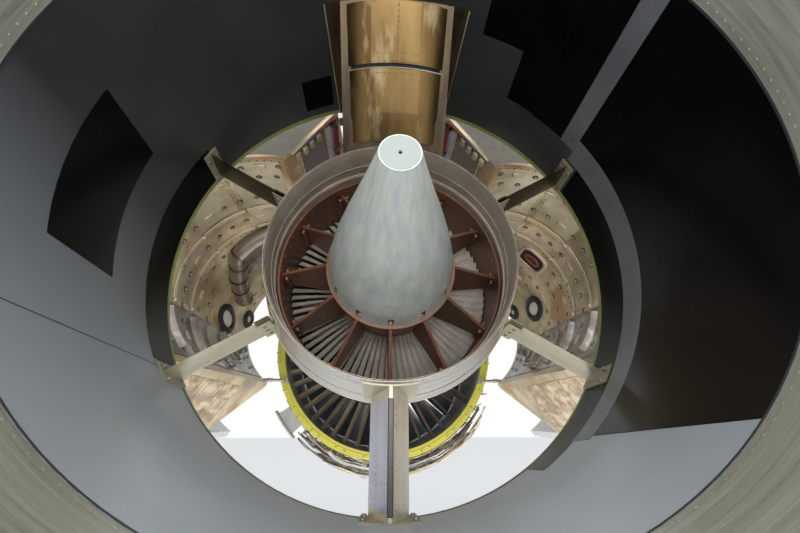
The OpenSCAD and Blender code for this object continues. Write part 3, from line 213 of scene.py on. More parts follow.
# The upper and lower struts are one metal painted as shaded and lit copies: the upper ones far
# darker, as painted shade, and the lower ones pale, as painted light
finish("shaded_strut", (0.062, 0.046, 0.022), 0.6, 0.42, (0.040, 0.030, 0.014), 0.2, 6, gloss=0.2,
       stain=(0.060, 0.062, 0.026))
finish("lower_strut", (0.54, 0.485, 0.33), 0.35, 0.36, (0.37, 0.335, 0.22), 0.2, 6)
finish("bronze", (0.27, 0.17, 0.070), 1.0, 0.34, (0.13, 0.075, 0.030), 0.12, 2.6, (2.4, 0.7, 0.7),
       0.10, 60, stain=(0.36, 0.28, 0.15), stain_grain=3.2)
finish("bronze_bright", (0.34, 0.22, 0.09), 0.92, 0.33, (0.21, 0.13, 0.05), 0.12, 2.6,
       (2.4, 0.7, 0.7), 0.08, 60, stain=(0.42, 0.32, 0.17), stain_grain=3.2)
finish("bronze_dark", (0.20, 0.145, 0.085), 0.75, 0.30, (0.085, 0.062, 0.04), 0.14, 4,
       (3, 0.6, 0.6))
finish("duct_metal", (0.36, 0.30, 0.24), 0.7, 0.34, (0.24, 0.195, 0.16), 0.2, 3, bump=0.02,
       stain=(0.26, 0.21, 0.20), stain_grain=2)
finish("blue_pale", (0.82, 0.84, 0.98), 0.2, 0.32, (0.55, 0.56, 0.70), 0.14, 4, (2, 1, 1),
       stain=(0.86, 0.84, 0.74), stain_grain=4.5)
finish("cream", (0.90, 0.83, 0.68), 0.2, 0.36, (0.72, 0.64, 0.49), 0.14, 5, (3, 1, 1),
       stain=(0.76, 0.64, 0.42), stain_grain=4)
finish("vane", (0.68, 0.55, 0.38), 0.3, 0.40, (0.44, 0.34, 0.22), 0.14, 7)
finish("steel", (0.56, 0.54, 0.50), 0.7, 0.32, (0.38, 0.36, 0.33), 0.16, 14)
finish("dark_steel", (0.15, 0.14, 0.13), 0.5, 0.42, (0.08, 0.075, 0.07), 0.16, 9)
finish("case", (0.50, 0.53, 0.47), 0.25, 0.45, (0.36, 0.38, 0.33), 0.16, 7)
finish("cast", (0.52, 0.53, 0.52), 0.5, 0.5, (0.36, 0.37, 0.37), 0.16, 18, bump=0.2, fine=320)
finish("purple_grey", (0.30, 0.245, 0.22), 0.2, 0.42, (0.22, 0.18, 0.165), 0.2, 5)
finish("cowl", (0.70, 0.71, 0.70), 0, 0.30, (0.62, 0.63, 0.62), 0.2, 4, bump=0.01, coat=0.4)
finish("liner", (0.30, 0.31, 0.31), 0, 0.6, (0.22, 0.23, 0.23), 0.16, 9, bump=0.15)
finish("fan", (0.30, 0.31, 0.33), 0.6, 0.34, (0.20, 0.21, 0.23), 0.16, 6)
finish("spinner", (0.24, 0.25, 0.27), 0.1, 0.34, (0.18, 0.19, 0.21), 0.16, 6)
finish("rubber", (0.030, 0.029, 0.030), 0, 0.5, (0.018, 0.017, 0.018), 0.16, 30)
finish("red_wire", (0.42, 0.045, 0.03), 0, 0.42, (0.28, 0.03, 0.02), 0.16, 40)
finish("blue_wire", (0.09, 0.12, 0.22), 0, 0.42, (0.05, 0.08, 0.15), 0.16, 40)
finish("violet", (0.23, 0.10, 0.11), 0.4, 0.38, (0.14, 0.06, 0.07), 0.16, 20)
finish("white", (0.80, 0.80, 0.77), 0, 0.45, (0.68, 0.68, 0.65), 0.16, 12)
finish("glow", (0.86, 0.85, 0.74), 0, 0.5, (0.80, 0.79, 0.66), 0.2, 12)
# Near-black painted shade, put in gaps and recesses where there is only shade
finish("hollow", (0.012, 0.011, 0.010), 0, 0.7, (0.006, 0.006, 0.006), 0.16, 20)

NODE_FINISH = {
    "case": "fan_case",
    "liner": "fan_liner",
    "yellow": "rear_flange_ring",
    "vane": "outlet_guide_vanes",
    "steel": "tail_cone_bolts strut_bolts fuel_nozzles front_bearings rear_bearings"
             " door_hinge_pins left_hinge_arms right_hinge_arms left_hold_open_rod"
             " right_hold_open_rod front_mount rear_mount lp_shaft",
    "dark_steel": "fan_frame splitter booster_case compressor_case bleed_duct",
    "hot_case": "combustor_case combustor_liner front_turbine_case lp_turbine_case",
    "exhaust": "exhaust_case",
    "blade": "last_stage_blades lp_turbine_rotor booster_rotor compressor_rotor"
             " front_turbine_rotor",
    "cone": "tail_cone",
    "nozzle_in": "primary_nozzle",
    "green": "nozzle_front_ring",
    "lining": "nozzle_lining",
    "skin": "nozzle_skin",
    "pale_ring": "nozzle_trailing_ring",
    # Painted shade on the upper struts, painted light on the lower ones and their fittings
    "shaded_strut": "upper_left_strut upper_right_strut",
    "lower_strut": "lower_left_strut lower_right_strut strut_end_plates",
    "cream": "bottom_strut",
    "bronze_dark": "pylon_fairing",
    "purple_grey": "pylon_beam",
    "cast": "accessory_gearbox starter generator fuel_pump",
    "white": "oil_tank",
    "gold": "fan_case_pipes left_inner_wall right_inner_wall",
    "cowl": "left_outer_wall right_outer_wall",
    "spinner": "spinner",
    "fan": "fan_disc fan_blades",
}
for key, names in NODE_FINISH.items():
    for part in names.split():
        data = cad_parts[part].data
        data.materials.clear()
        data.materials.append(mats[key])

# Faces of the primary nozzle that look away from the engine axis
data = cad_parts["primary_nozzle"].data
data.materials.append(mats["nozzle_out"])
for p in data.polygons:
    if p.normal.x * p.center.x + p.normal.z * p.center.z > 0:
        p.material_index = 1

# Building pieces
SHARP = math.radians(35)
PLATE_ANGLE, PLATE_LENGTH, LATHE_ANGLE = 2.0, 200, 3.0


def piece(name, verts, faces, mat, slot, body="engine", bevel=0.0):
    """A piece with smooth faces that meet sharply at its corners."""
    mesh = bpy.data.meshes.new(name)
    mesh.from_pydata(verts, [], faces)
    mesh.update()
    bm = bmesh.new()
    bm.from_mesh(mesh)
    bmesh.ops.recalc_face_normals(bm, faces=bm.faces)
    for e in bm.edges:
        e.smooth = len(e.link_faces) == 2 and e.calc_face_angle(0) < SHARP
    for f in bm.faces:
        f.smooth = True
    bm.to_mesh(mesh)
    bm.free()
    obj = bpy.data.objects.new(name, mesh)
    bpy.context.scene.collection.objects.link(obj)
    mesh.materials.append(mats[mat])
    if bevel:
        edge = obj.modifiers.new("edge", "BEVEL")
        edge.width = bevel * MM
        edge.segments = 2
        edge.limit_method = "ANGLE"
    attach(obj, body)


def grid_faces(n, m, start):
    """Quads of a grid of n by m points that begins at index start."""
    return [
        (start + i * m + j, start + (i + 1) * m + j,
         start + (i + 1) * m + j + 1, start + i * m + j + 1)
        for i in range(n - 1)
        for j in range(m - 1)
    ]


def shell(n, m, front, back):
    """Points and faces of a thin plate between two grids of n by m points."""
    size = n * m
    faces = grid_faces(n, m, 0) + grid_faces(n, m, size)
    edge = (
        [i * m for i in range(n)]
        + [(n - 1) * m + j for j in range(1, m)]
        + [i * m + m - 1 for i in range(n - 2, -1, -1)]
        + [j for j in range(m - 2, 0, -1)]
    )
    for a, b in zip(edge, edge[1:] + edge[:1]):
        faces.append((a, b, size + b, size + a))
    return list(front) + list(back), faces


def stacked(levels, n):
    """Faces of a closed body drawn as levels of n points each."""
    faces = [(k * n + i, k * n + (i + 1) % n, (k + 1) * n + (i + 1) % n, (k + 1) * n + i)
             for k in range(levels - 1) for i in range(n)]
    return faces + [list(range(n)), [(levels - 1) * n + i for i in range(n)]]


def joined(parts):
    """Several lists of points and faces as one."""
    verts, faces = [], []
    for pts, quads in parts:
        faces += [[len(verts) + q for q in quad] for quad in quads]
        verts += pts
    return verts, faces


def plates(name, fields, mat, slot, body="engine", place=on_engine, bevel=0.0):
    """Curved plates. A field is two angles, two stations, and the inner and outer radius laws."""
    parts = []
    for a0, a1, z0, z1, inner, outer in fields:
        n = int((a1 - a0) / PLATE_ANGLE) + 2
        m = int((z1 - z0) / PLATE_LENGTH) + 2
        stations = [z0 + (z1 - z0) * j / (m - 1) for j in range(m)]
        angles = [a0 + (a1 - a0) * i / (n - 1) for i in range(n)]
        front, back = ([place(r(z), a, z) for a in angles for z in stations]
                       for r in (inner, outer))
        parts.append(shell(n, m, front, back))
    piece(name, *joined(parts), mat, slot, body, bevel)


def lathe(name, rings, mat, slot, body="engine", place=on_engine, bevel=0.0):
    """Turned rings. Each is a list of (radius, station) corners and its first and last angle."""
    parts = []
    for corners, a0, a1 in rings:
        whole = a1 - a0 >= 360
        n = int((a1 - a0) / LATHE_ANGLE) + (0 if whole else 1)
        m = len(corners)
        span = (a1 - a0) / (n if whole else n - 1)
        pts = [place(r, a0 + span * i, z) for i in range(n) for r, z in corners]
        faces = []
        for i in range(n if whole else n - 1):
            k = (i + 1) % n
            for j in range(m):
                q = (j + 1) % m
                faces.append((i * m + j, k * m + j, k * m + q, i * m + q))
        if not whole:
            faces += [list(range(m)), [(n - 1) * m + j for j in range(m)]]
        parts.append((pts, faces))
    piece(name, *joined(parts), mat, slot, body, bevel)


def buttons(name, spots, r, h, mat, slot="bolt_metal", body="engine", sides=6):
    """Round heads at (point, outward direction), each with a sloping edge."""
    parts = []
    for p, d in spots:
        d = d.normalized()
        u = d.orthogonal().normalized()
        v = d.cross(u)
        verts = []
        for radius, height in ((r, -0.3), (r, 0.45 * h), (0.62 * r, h)):
            for i in range(sides):
                a = 2 * math.pi * i / sides
                verts.append(p + (u * math.cos(a) + v * math.sin(a)) * radius * MM
                             + d * height * MM)
        parts.append((verts, stacked(3, sides)))
    piece(name, *joined(parts), mat, slot, body)


def tube(name, lines, r, mat, slot, body="engine", sides=8, rounded=True):
    """Round lines through lists of points, closed at their ends."""
    parts = []
    for pts in lines:
        path = smooth_path(pts) if rounded and len(pts) > 2 else pts
        last = len(path) - 1
        verts, up = [], None
        for i, p in enumerate(path):
            d = (path[min(i + 1, last)] - path[max(i - 1, 0)]).normalized()
            up = d.orthogonal().normalized() if up is None else (up - d * up.dot(d)).normalized()
            v = d.cross(up)
            for k in range(sides):
                a = 2 * math.pi * k / sides
                verts.append(p + (up * math.cos(a) + v * math.sin(a)) * r * MM)
        parts.append((verts, stacked(len(path), sides)))
    piece(name, *joined(parts), mat, slot, body)


def smooth_path(pts, steps=6):
    """A curve through the points, with this many steps between two of them."""
    out = []
    ext = [pts[0] * 2 - pts[1]] + list(pts) + [pts[-1] * 2 - pts[-2]]
    for i in range(1, len(ext) - 2):
        a, b, c, d = ext[i - 1 : i + 3]
        for k in range(steps):
            t = k / steps
            out.append(
                0.5 * ((2 * b) + (c - a) * t + (2 * a - 5 * b + 4 * c - d) * t * t
                       + (3 * b - a - 3 * c + d) * t ** 3)
            )
    return out + [pts[-1]]


BOX_FACES = [(0, 1, 3, 2), (4, 6, 7, 5), (0, 4, 5, 1), (2, 3, 7, 6), (0, 2, 6, 4), (1, 5, 7, 3)]


def blocks(name, items, mat, slot, body="engine", bevel=1.0):
    """Bevelled blocks, each given as a corner and three edge vectors."""
    parts = [([corner + u * i + v * j + w * k for i in (0, 1) for j in (0, 1) for k in (0, 1)],
              BOX_FACES) for corner, u, v, w in items]
    piece(name, *joined(parts), mat, slot, body, bevel)


def box_ring(r0, r1, z0, z1, a0=0, a1=360):
    """A ring of oblong section between two radii, two stations and two angles."""
    return [(r0, z0), (r1, z0), (r1, z1), (r0, z1)], a0, a1


def seat(r, angle, z, place=on_engine, out=1):
    """A point on a round wall, and the direction that stands off it."""
    p = place(r, angle, z)
    return p, (place(r + 10 * out, angle, z) - p)


def block_on(point, out, along=row(0, 0, 1), size=(40, 26, 12)):
    """A block on a wall: its length runs along the given direction, its height stands out."""
    up = out.normalized()
    a = (along - up * along.dot(up)).normalized()
    b = up.cross(a)
    length, width, height = (s * MM for s in size)
    return (point - a * length / 2 - b * width / 2 - up * 0.3 * MM, a * length, b * width,
            up * height)


# Common nozzle: glossy panels, joint strips and seams on the acoustic lining
def in_lining(depth):
    return lambda z: nozzle_r(z) - depth


# Depths of the panels, strips and seams, and of the backs of them all, in the lining
PANEL, STRIP, SEAM, END_SEAM, SUNK = map(in_lining, (1.2, 1.8, 0.5, 1.4, -1))
# Fields: first and last angle, first and last station
black_fields = [
    (163, 193.5, 3236, 3502),
    (108.7, 117.5, 2895, 3071),
    (55.5, 67, 3322, 3712),
    (46.8, 55.5, 3092, 3712),
    (36, 46.8, 3085, 3650),
    (-47, 31, 3148, 3712),
    (-57, 27, 2856, 3030),
    (150, 207, 2856, 3030),
]
joint_strips = [(31, 36, 3083, 3712), (-48, 31, 3030, 3148)]
seams = [(a, a + 0.22, 2856, 3714) for a in (148.4, 208.5, 332.6)]
end_seams = [(0, 359.9, LINING_END - 5, LINING_END - 1),
             (0, 359.9, LINING_START + 0.5, LINING_START + 4)]
plates("lining_panels", [f + (PANEL, SUNK) for f in black_fields], "black",
       "lining_dark", bevel=0.8)
plates("lining_strips", [f + (STRIP, SUNK) for f in joint_strips], "strip",
       "lining_dark", bevel=0.6)
seam_fields = [f + (SEAM, SUNK) for f in seams] + [f + (END_SEAM, SUNK) for f in end_seams]
plates("lining_seams", seam_fields, "seam", "lining_dark")

RING_RIVETS = 160
heads = [seat(nozzle_r(z) + 0.2, 360 * i / RING_RIVETS, z, out=-1)
         for z in (LINING_END + 14, NOZZLE_END - 12) for i in range(RING_RIVETS)]
buttons("ring_rivets", heads, 3.2, 1.4, "pale_ring", slot="skin_metal", sides=8)
heads = [seat(nozzle_r(z) - 0.2, a, z, out=-1)
         for z in (NOZZLE_START + 8, LINING_START - 6) for a in range(0, 360, 6)]
buttons("front_ring_rivets", heads, 2.6, 1.2, "green", slot="green_primer")
heads = [seat(STRIP(z) + 0.4, a, z, out=-1) for a in (31.6, 35.4) for z in range(3100, 3700, 40)]
buttons("strip_rivets", heads, 2.2, 0.8, "strip", slot="lining_dark")


# Pylon fairing: bulged sheets on its aft face, with their laps, rivets and edge beads
FAIRING_FOOT, FAIRING_FOOT_R = 3040, 448
FACE_RISE = 0.944
SHEET_HALF, SHEET_FLAT, BULGE, SEAM_DROP, SHEET_THICK = 191, 105, 30, 16, 2


def fairing_face(x, z, lift):
    norm = math.hypot(1, FACE_RISE)
    r = FAIRING_FOOT_R + (z - FAIRING_FOOT) * FACE_RISE
    return row(x, r - lift / norm, z + lift * FACE_RISE / norm)


def face_bulge(x):
    """How far the sheets stand off the flat aft face, less towards the sides."""
    t = max(0.0, (abs(x) - SHEET_FLAT) / (SHEET_HALF - SHEET_FLAT))
    return 1.5 + BULGE * (1 - t * t)


def face_seam(x, z):
    """The curved joints of the sheets run lower at the sides."""
    return z - SEAM_DROP * (x / SHEET_HALF) ** 2


def on_sheet(x, z, lift):
    """A point that stands off the bulged sheets by a lift."""
    return fairing_face(x, face_seam(x, z), face_bulge(x) + lift)


def face_sheet(x0, x1, z0, z1, lift):
    n, m = 25, 5

    def grid(extra):
        return [on_sheet(x0 + (x1 - x0) * i / (n - 1), z0 + (z1 - z0) * j / (m - 1), lift + extra)
                for i in range(n) for j in range(m)]

    return shell(n, m, grid(0), grid(-SHEET_THICK))


LAP, JOINT, SHEET_TOP = 3127, 3250, 3392
piece("fairing_sheets", *joined([
    face_sheet(-SHEET_HALF, SHEET_HALF, FAIRING_FOOT + 22, LAP + 6, -2.5),
    face_sheet(-SHEET_HALF, SHEET_HALF, LAP, JOINT - 5, 0),
    face_sheet(-SHEET_HALF, SHEET_HALF, JOINT + 5, SHEET_TOP, 2)]),
    "bronze", "fairing_bronze")
piece("fairing_bright_sheets", *joined([
    face_sheet(-70, 88, LAP + 8, JOINT - 8, 1.2),
    face_sheet(-88, 4, JOINT + 10, SHEET_TOP - 2, 3.4),
    face_sheet(7, 82, JOINT + 10, SHEET_TOP - 2, 3.4)]),
    "bronze_bright", "fairing_bronze")
# A near-black sheet under the joint of the sheets: painted shade in the gap
piece("fairing_joint", *face_sheet(-SHEET_HALF + 6, SHEET_HALF - 6, JOINT - 7, JOINT + 7, -4),
      "hollow", "fairing_bronze")
tube("fairing_joint_lip",
     [[on_sheet(x, JOINT - 5, 1.2) for x in range(-SHEET_HALF + 4, SHEET_HALF - 3, 11)]],
     2.0, "gold_light", "fairing_bronze", sides=6, rounded=False)


def face_heads(spots, lift):
    """Rivets on the sheets at (right, aft) spots."""
    return [(on_sheet(x, z, lift), on_sheet(x, z, lift + 10) - on_sheet(x, z, lift))
            for x, z in spots]


centre = face_heads([(2 + draw.uniform(-1, 1), z) for z in range(3140, 3240, 13)], 1.0)
centre += face_heads([(5 + draw.uniform(-1, 1), z) for z in range(3262, 3388, 12)], 3.2)
for z, lift in ((3233, 1.0), (3278, 3.2)):
    centre += face_heads([(x, z) for x in (-66, -52, -38, -24, 20, 34, 62, 76)], lift)
    centre += face_heads([(x, z + (12 if z < JOINT else -12)) for x in (-30, -20, 22, 30)], lift)
buttons("fairing_rivets", centre, 2.6, 0.8, "bronze_dark")
FLANGE_HALF = 248
edges = [[row(side * FLANGE_HALF, math.sqrt((nozzle_r(z) - 6) ** 2 - FLANGE_HALF ** 2), z)
          for z in range(2834, 3396, 40)] for side in (-1, 1)]
tube("fairing_edge_beads", edges, 2.2, "gold_light", "fairing_bronze", sides=6,
     rounded=False)
heads = []
for side in (-1, 1):
    for x in (208, 236):
        for z in range(2850, 3390, 24):
            r = nozzle_r(z) - 5
            a = 90 - side * math.degrees(math.asin(x / r))
            heads.append(seat(r - 0.2, a, z, out=-1))
buttons("fairing_flange_rivets", heads, 3.0, 1.4, "bronze")

# Bottom strut: a sheet on each side, a dark trailing strip and rivets
STRUT_HALF, STRUT_TAIL_HALF, STRUT_FROM, STRUT_TAIL = 65, 5, 2867.5, 3025
STRUT_IN_R, STRUT_OUT_R = 494, 812


def strut_side(side, t, r, lift):
    """A point on a side of the bottom strut, t from its front (0) to its tail (1)."""
    x = STRUT_HALF + (STRUT_TAIL_HALF - STRUT_HALF) * t
    z = STRUT_FROM + (STRUT_TAIL - STRUT_FROM) * t
    slope = math.hypot(STRUT_HALF - STRUT_TAIL_HALF, STRUT_TAIL - STRUT_FROM)
    nx, nz = (STRUT_TAIL - STRUT_FROM) / slope, (STRUT_HALF - STRUT_TAIL_HALF) / slope
    return row(side * (x + nx * lift), -r, z + nz * lift)


for side, word, mat in ((-1, "left", "blue_pale"), (1, "right", "cream")):
    n, m = 9, 12

    def side_grid(lift):
        return [strut_side(side, 0.02 + 0.90 * i / (n - 1),
                           STRUT_IN_R + 4 + (STRUT_OUT_R - STRUT_IN_R - 8) * j / (m - 1), lift)
                for i in range(n) for j in range(m)]

    piece("bottom_strut_" + word + "_sheet", *shell(n, m, side_grid(1.6), side_grid(-0.4)), mat,
          "strut_metal")
    heads = []
    for t in (0.36, 0.84):
        for k in range(18):
            r = STRUT_IN_R + 16 + 17 * k
            p = strut_side(side, t, r, 1.5)
            heads.append((p, strut_side(side, t, r, 10) - p))
    buttons("bottom_strut_" + word + "_rivets", heads, 2.4, 1.0, "steel")
blocks("bottom_strut_tail", [(row(-9, -STRUT_OUT_R, STRUT_TAIL - 12), row(18, 0, 0),
                              row(0, STRUT_OUT_R - STRUT_IN_R, 0), row(0, 0, 14))],
       "dark_steel", "strut_metal", bevel=3)

# Fittings where the side struts leave the primary nozzle: two cheeks and three bolts each
fittings, bolts = [], []
for angle in (150, 30, 210, 330):
    p = on_engine(primary_out_r(2920) + 2, angle, 2844)
    out, across, aft = on_engine(1, angle, 0), on_engine(1, angle + 90, 0), row(0, 0, 1)
    for lift in (-12, 8):
        fittings.append((p + across * lift, out * 52, across * 4, aft * 150))
    for k in range(3):
        q = p + out * 30 + aft * (30 + 45 * k)
        bolts += [(q + across * 12, across), (q - across * 12, -across)]
blocks("strut_root_fittings", fittings, "lower_strut", "strut_metal", bevel=1.5)
buttons("strut_root_bolts", bolts, 7, 5, "steel", sides=8)


# Open duct halves: blanket panels, wires, fasteners and ports on the faces towards the core
def off_wall(depth):
    return lambda z: inner_wall_r(z) - depth


WALL_FROM, WALL_TO = 115, 262
WIRES, WIRE_SPREAD = (2360, 2175), 8
PANEL_STATIONS = (DOOR_START + 6, 1480, 1660, 1900, 2130, 2750)
PANEL_ANGLES = (WALL_FROM, 150.5, 180.9, 225.3, WALL_TO)
PANEL_GAP_ANGLE, PANEL_GAP = 0.15, 1.5
LIGHT_FIELDS = [(153, 179, 2385, 2600), (119, 148, 2385, 2735), (184, 222, 2196, 2340),
                (119, 148, 2196, 2340)]
LIGHT_START, LIGHT_TO_ANGLE = 2190, 222
SEAM_RIVET_ANGLES, SEAM_RIVET_STATIONS = (152.2, 226.8), (2742, 2138)
FASTENER_FROM, FASTENER_PITCH, FASTENER_SHIFT = 119.5, 10.1, 3
FASTENER_STATIONS = (1320, 1420, 1560, 1720, 1830, 1965, 2080, 2262, 2450, 2617, 2700)
BLANKET, LIGHT_PANEL, BACKED = off_wall(4), off_wall(5), off_wall(-1)
ROUGH_FROM = 220
OVAL_POINTS = 40
UPPER_FACE, LOWER_FACE = -205, -5
SHEET_START, SHEET_LENGTH, SHEET_PITCH = 1262, 236, 244
RIB_STATIONS = (1760, 1960, 2160, 2400)
LATCH_STATIONS = (1800, 2080, 2360, 2640)
# Ports and kept clear places on the walls: angle, station, half width and half length
PORTS = {"left": [(216, 1690, 100, 132), (205, 1318, 70, 92)],
         "right": [(203, 1668, 92, 124), (194.2, 1318, 62, 84)]}
RECESS_ANGLE, RECESS = 171.5, 2010
KEPT_CLEAR = {"left": (176, 1800, 190, 250), "right": (RECESS_ANGLE, RECESS, 120, 110)}


def clear_of_ports(side, angle, z, more=26):
    for a, station, across, along in PORTS[side] + [KEPT_CLEAR[side]]:
        x = math.radians(angle - a) * inner_wall_r(z)
        if abs(x) < across + more and abs(z - station) < along + more:
            return False
    return True


def oval(face, angle, station, across, along, lift, squared):
    """Points of an oval on the inner wall; a squared value under 1 gives fuller corners."""
    pts = []
    for i in range(OVAL_POINTS):
        t = 2 * math.pi * i / OVAL_POINTS
        c, s = math.cos(t), math.sin(t)
        x = math.copysign(abs(c) ** squared, c) * across
        z = station + math.copysign(abs(s) ** squared, s) * along
        r = inner_wall_r(z)
        pts.append(face(r - lift, angle + math.degrees(x / r), z))
    return pts


def oval_lip(face, angle, station, layers, squared=1.0):
    """A raised rim on the inner wall: each layer is (half width, half length, lift)."""
    verts = [p for layer in layers for p in oval(face, angle, station, *layer, squared)]
    return verts, stacked(len(layers), OVAL_POINTS)


# Layers of a port's rim and of its cover: how far in from its edge, and how high
RIM_LAYERS = ((0, 0), (0, 12), (12, 22), (36, 24), (44, 12), (46, 4))
COVER_LAYERS = ((44, 3), (46, 9), (52, 10))

for side in ("left", "right"):
    body = side + "_door"
    face = on_door_polar(side)
    flat = on_door(side)

    def on_face(depth, a, z):
        """A seat on the inner wall, depth in front of it."""
        return seat(inner_wall_r(z) - depth, a, z, face, -1)

    fields = []
    for z0, z1 in zip(PANEL_STATIONS, PANEL_STATIONS[1:]):
        for a0, a1 in zip(PANEL_ANGLES, PANEL_ANGLES[1:]):
            fields.append((a0 + PANEL_GAP_ANGLE, a1 - PANEL_GAP_ANGLE, z0 + PANEL_GAP,
                           z1 - PANEL_GAP, BLANKET, BACKED))
    plates(side + "_blankets", [f for f in fields if f[0] < ROUGH_FROM],
           "gold", "wall_gold", body, face, bevel=1.5)
    plates(side + "_lower_blankets", [f for f in fields if f[0] > ROUGH_FROM],
           "gold_grey", "wall_gold", body, face, bevel=1.5)
    plates(side + "_light_panels", [f + (LIGHT_PANEL, BACKED) for f in LIGHT_FIELDS],
           "gold_light", "wall_gold", body, face, bevel=1.0)

    # Pairs of wires round the wall, with clamps and with balls at two of its seams
    wires, balls, clamps = [], [], []
    for z in WIRES:
        for dz in (-WIRE_SPREAD, WIRE_SPREAD):
            wires.append([face(inner_wall_r(z) - 12, a, z + dz) for a in range(WALL_FROM, 224, 3)])
        for a in (149.5, 180.4, 202, 223.5):
            clamps.append(block_on(*on_face(3.5, a, z), size=(30, 12, 13)))
        balls += [on_face(8, a, z) for a in (180.4, 223.5)]
    tube(side + "_wires", wires, 3.0, "gold_light", "bolt_metal", body, sides=6, rounded=False)
    blocks(side + "_wire_clamps", clamps, "steel", "bolt_metal", body, bevel=2)
    buttons(side + "_wire_ends", balls, 11, 13, "white", body=body, sides=12)

    # Round and oblong fasteners with their washers
    heads, washers, oblong = [], [], []
    for k, z in enumerate(FASTENER_STATIONS):
        for i in range(14):
            a = FASTENER_FROM + FASTENER_PITCH * i + k % 2 * FASTENER_SHIFT
            if not clear_of_ports(side, a, z):
                continue
            lift = 5 if z > LIGHT_START and a < LIGHT_TO_ANGLE else 3.6
            if (i + 2 * k) % 5 == 1:
                along = face(400, a + 90, z) - face(0, a, z)
                oblong.append(block_on(*on_face(lift, a, z), along, (54, 34, 9)))
            else:
                washers.append(on_face(lift, a, z))
                heads.append(on_face(lift + 1.5, a, z))
    buttons(side + "_washers", washers, 15, 2.2, "bronze_dark", body=body, sides=14)
    buttons(side + "_fasteners", heads, 9, 7, "steel", body=body, sides=10)
    blocks(side + "_oblong_clips", oblong, "gold_light", "bolt_metal", body, bevel=3)
    spots = [(a, z) for a in SEAM_RIVET_ANGLES for z in range(1270, 2740, 34)]
    spots += [(a, z) for z in SEAM_RIVET_STATIONS for a in range(118, 260, 4)]
    heads = [on_face(4, a, z) for a, z in spots if clear_of_ports(side, a, z, 6)]
    buttons(side + "_seam_rivets", heads, 4.2, 2, "bronze_dark", body=body)

    # Oval ports: dark rubber rims round pale covers
    rims, covers = [], []
    for a, z, across, along in PORTS[side]:
        for lips, insets in ((rims, RIM_LAYERS), (covers, COVER_LAYERS)):
            layers = [(across - inset, along - inset, lift) for inset, lift in insets]
            lips.append(oval_lip(face, a, z, layers))
    piece(side + "_port_rims", *joined(rims), "rubber", "wall_gold", body)
    piece(side + "_port_covers", *joined(covers), "glow", "wall_gold", body)

    # Upper flat wall: sheets, edge rail, bundles of wires and its fittings
    up = flat(UPPER_FACE, 700, 1500) - flat(UPPER_FACE - 1, 700, 1500)
    low = flat(LOWER_FACE, -700, 1500) - flat(LOWER_FACE - 1, -700, 1500)

    def on_wall(x, y0, y1, z, length, height, out=up):
        """A block on a flat wall, from one corner across, aft and out of it."""
        corner = flat(x, y0, z)
        return corner, flat(x, y1, z) - corner, row(0, 0, length), out.normalized() * height * MM

    for word, y0, y1, mat in (
            ("_upper_sheets", 560, 735, "purple_grey"),
            ("_upper_pale_sheets", 742, 820, "blue_pale")):
        sheets = [on_wall(UPPER_FACE - 0.5, y0, y1, z, SHEET_LENGTH, 4)
                  for z in range(SHEET_START, DOOR_END - 66, SHEET_PITCH)]
        blocks(side + word, sheets, mat, "wall_gold", body)
    rivets = [(flat(UPPER_FACE + 4.5, y, z), up) for y in (570, 725, 752, 812)
              for z in range(1280, 2720, 48)]
    rails = [[flat(-197, y, SHEET_START), flat(-197, y, DOOR_END - 20)] for y in (545, 738)]
    tube(side + "_upper_rails", rails, 5, "gold_light", "wall_gold", body)
    blocks(side + "_aft_edge_rail", [on_wall(-212, 505, 828, DOOR_END - 8, 9, 16)],
           "gold_light", "wall_gold", body, bevel=2)
    for word, mat, shift in (("red", "red_wire", 0), ("blue", "blue_wire", 1)):
        lines = []
        for k in range(3):
            y = 790 + 12 * k + 5 * shift
            lines.append([flat(-192 - 5 * shift, y + draw.uniform(-4, 4), z)
                          for z in range(1320, 2741, 142)]
                         + [flat(-196, 700 - 14 * k - 7 * shift, 2752),
                            flat(-200, 600 - 10 * k, 2748)])
        tube(side + "_" + word + "_wires", lines, 4.5, mat, "bolt_metal", body, sides=7)
    clamps = [on_wall(-202, 778, 838, z, 14, 24) for z in range(1380, 2720, 190)]
    blocks(side + "_harness_clamps", clamps, "bronze_dark", "bolt_metal", body, bevel=2)
    fittings = [on_wall(-203, y, y + 26, 2700, 44, 18) for y in (522, 570, 618, 668)]
    blocks(side + "_edge_fittings", fittings, "gold_light", "wall_gold", body, bevel=3)

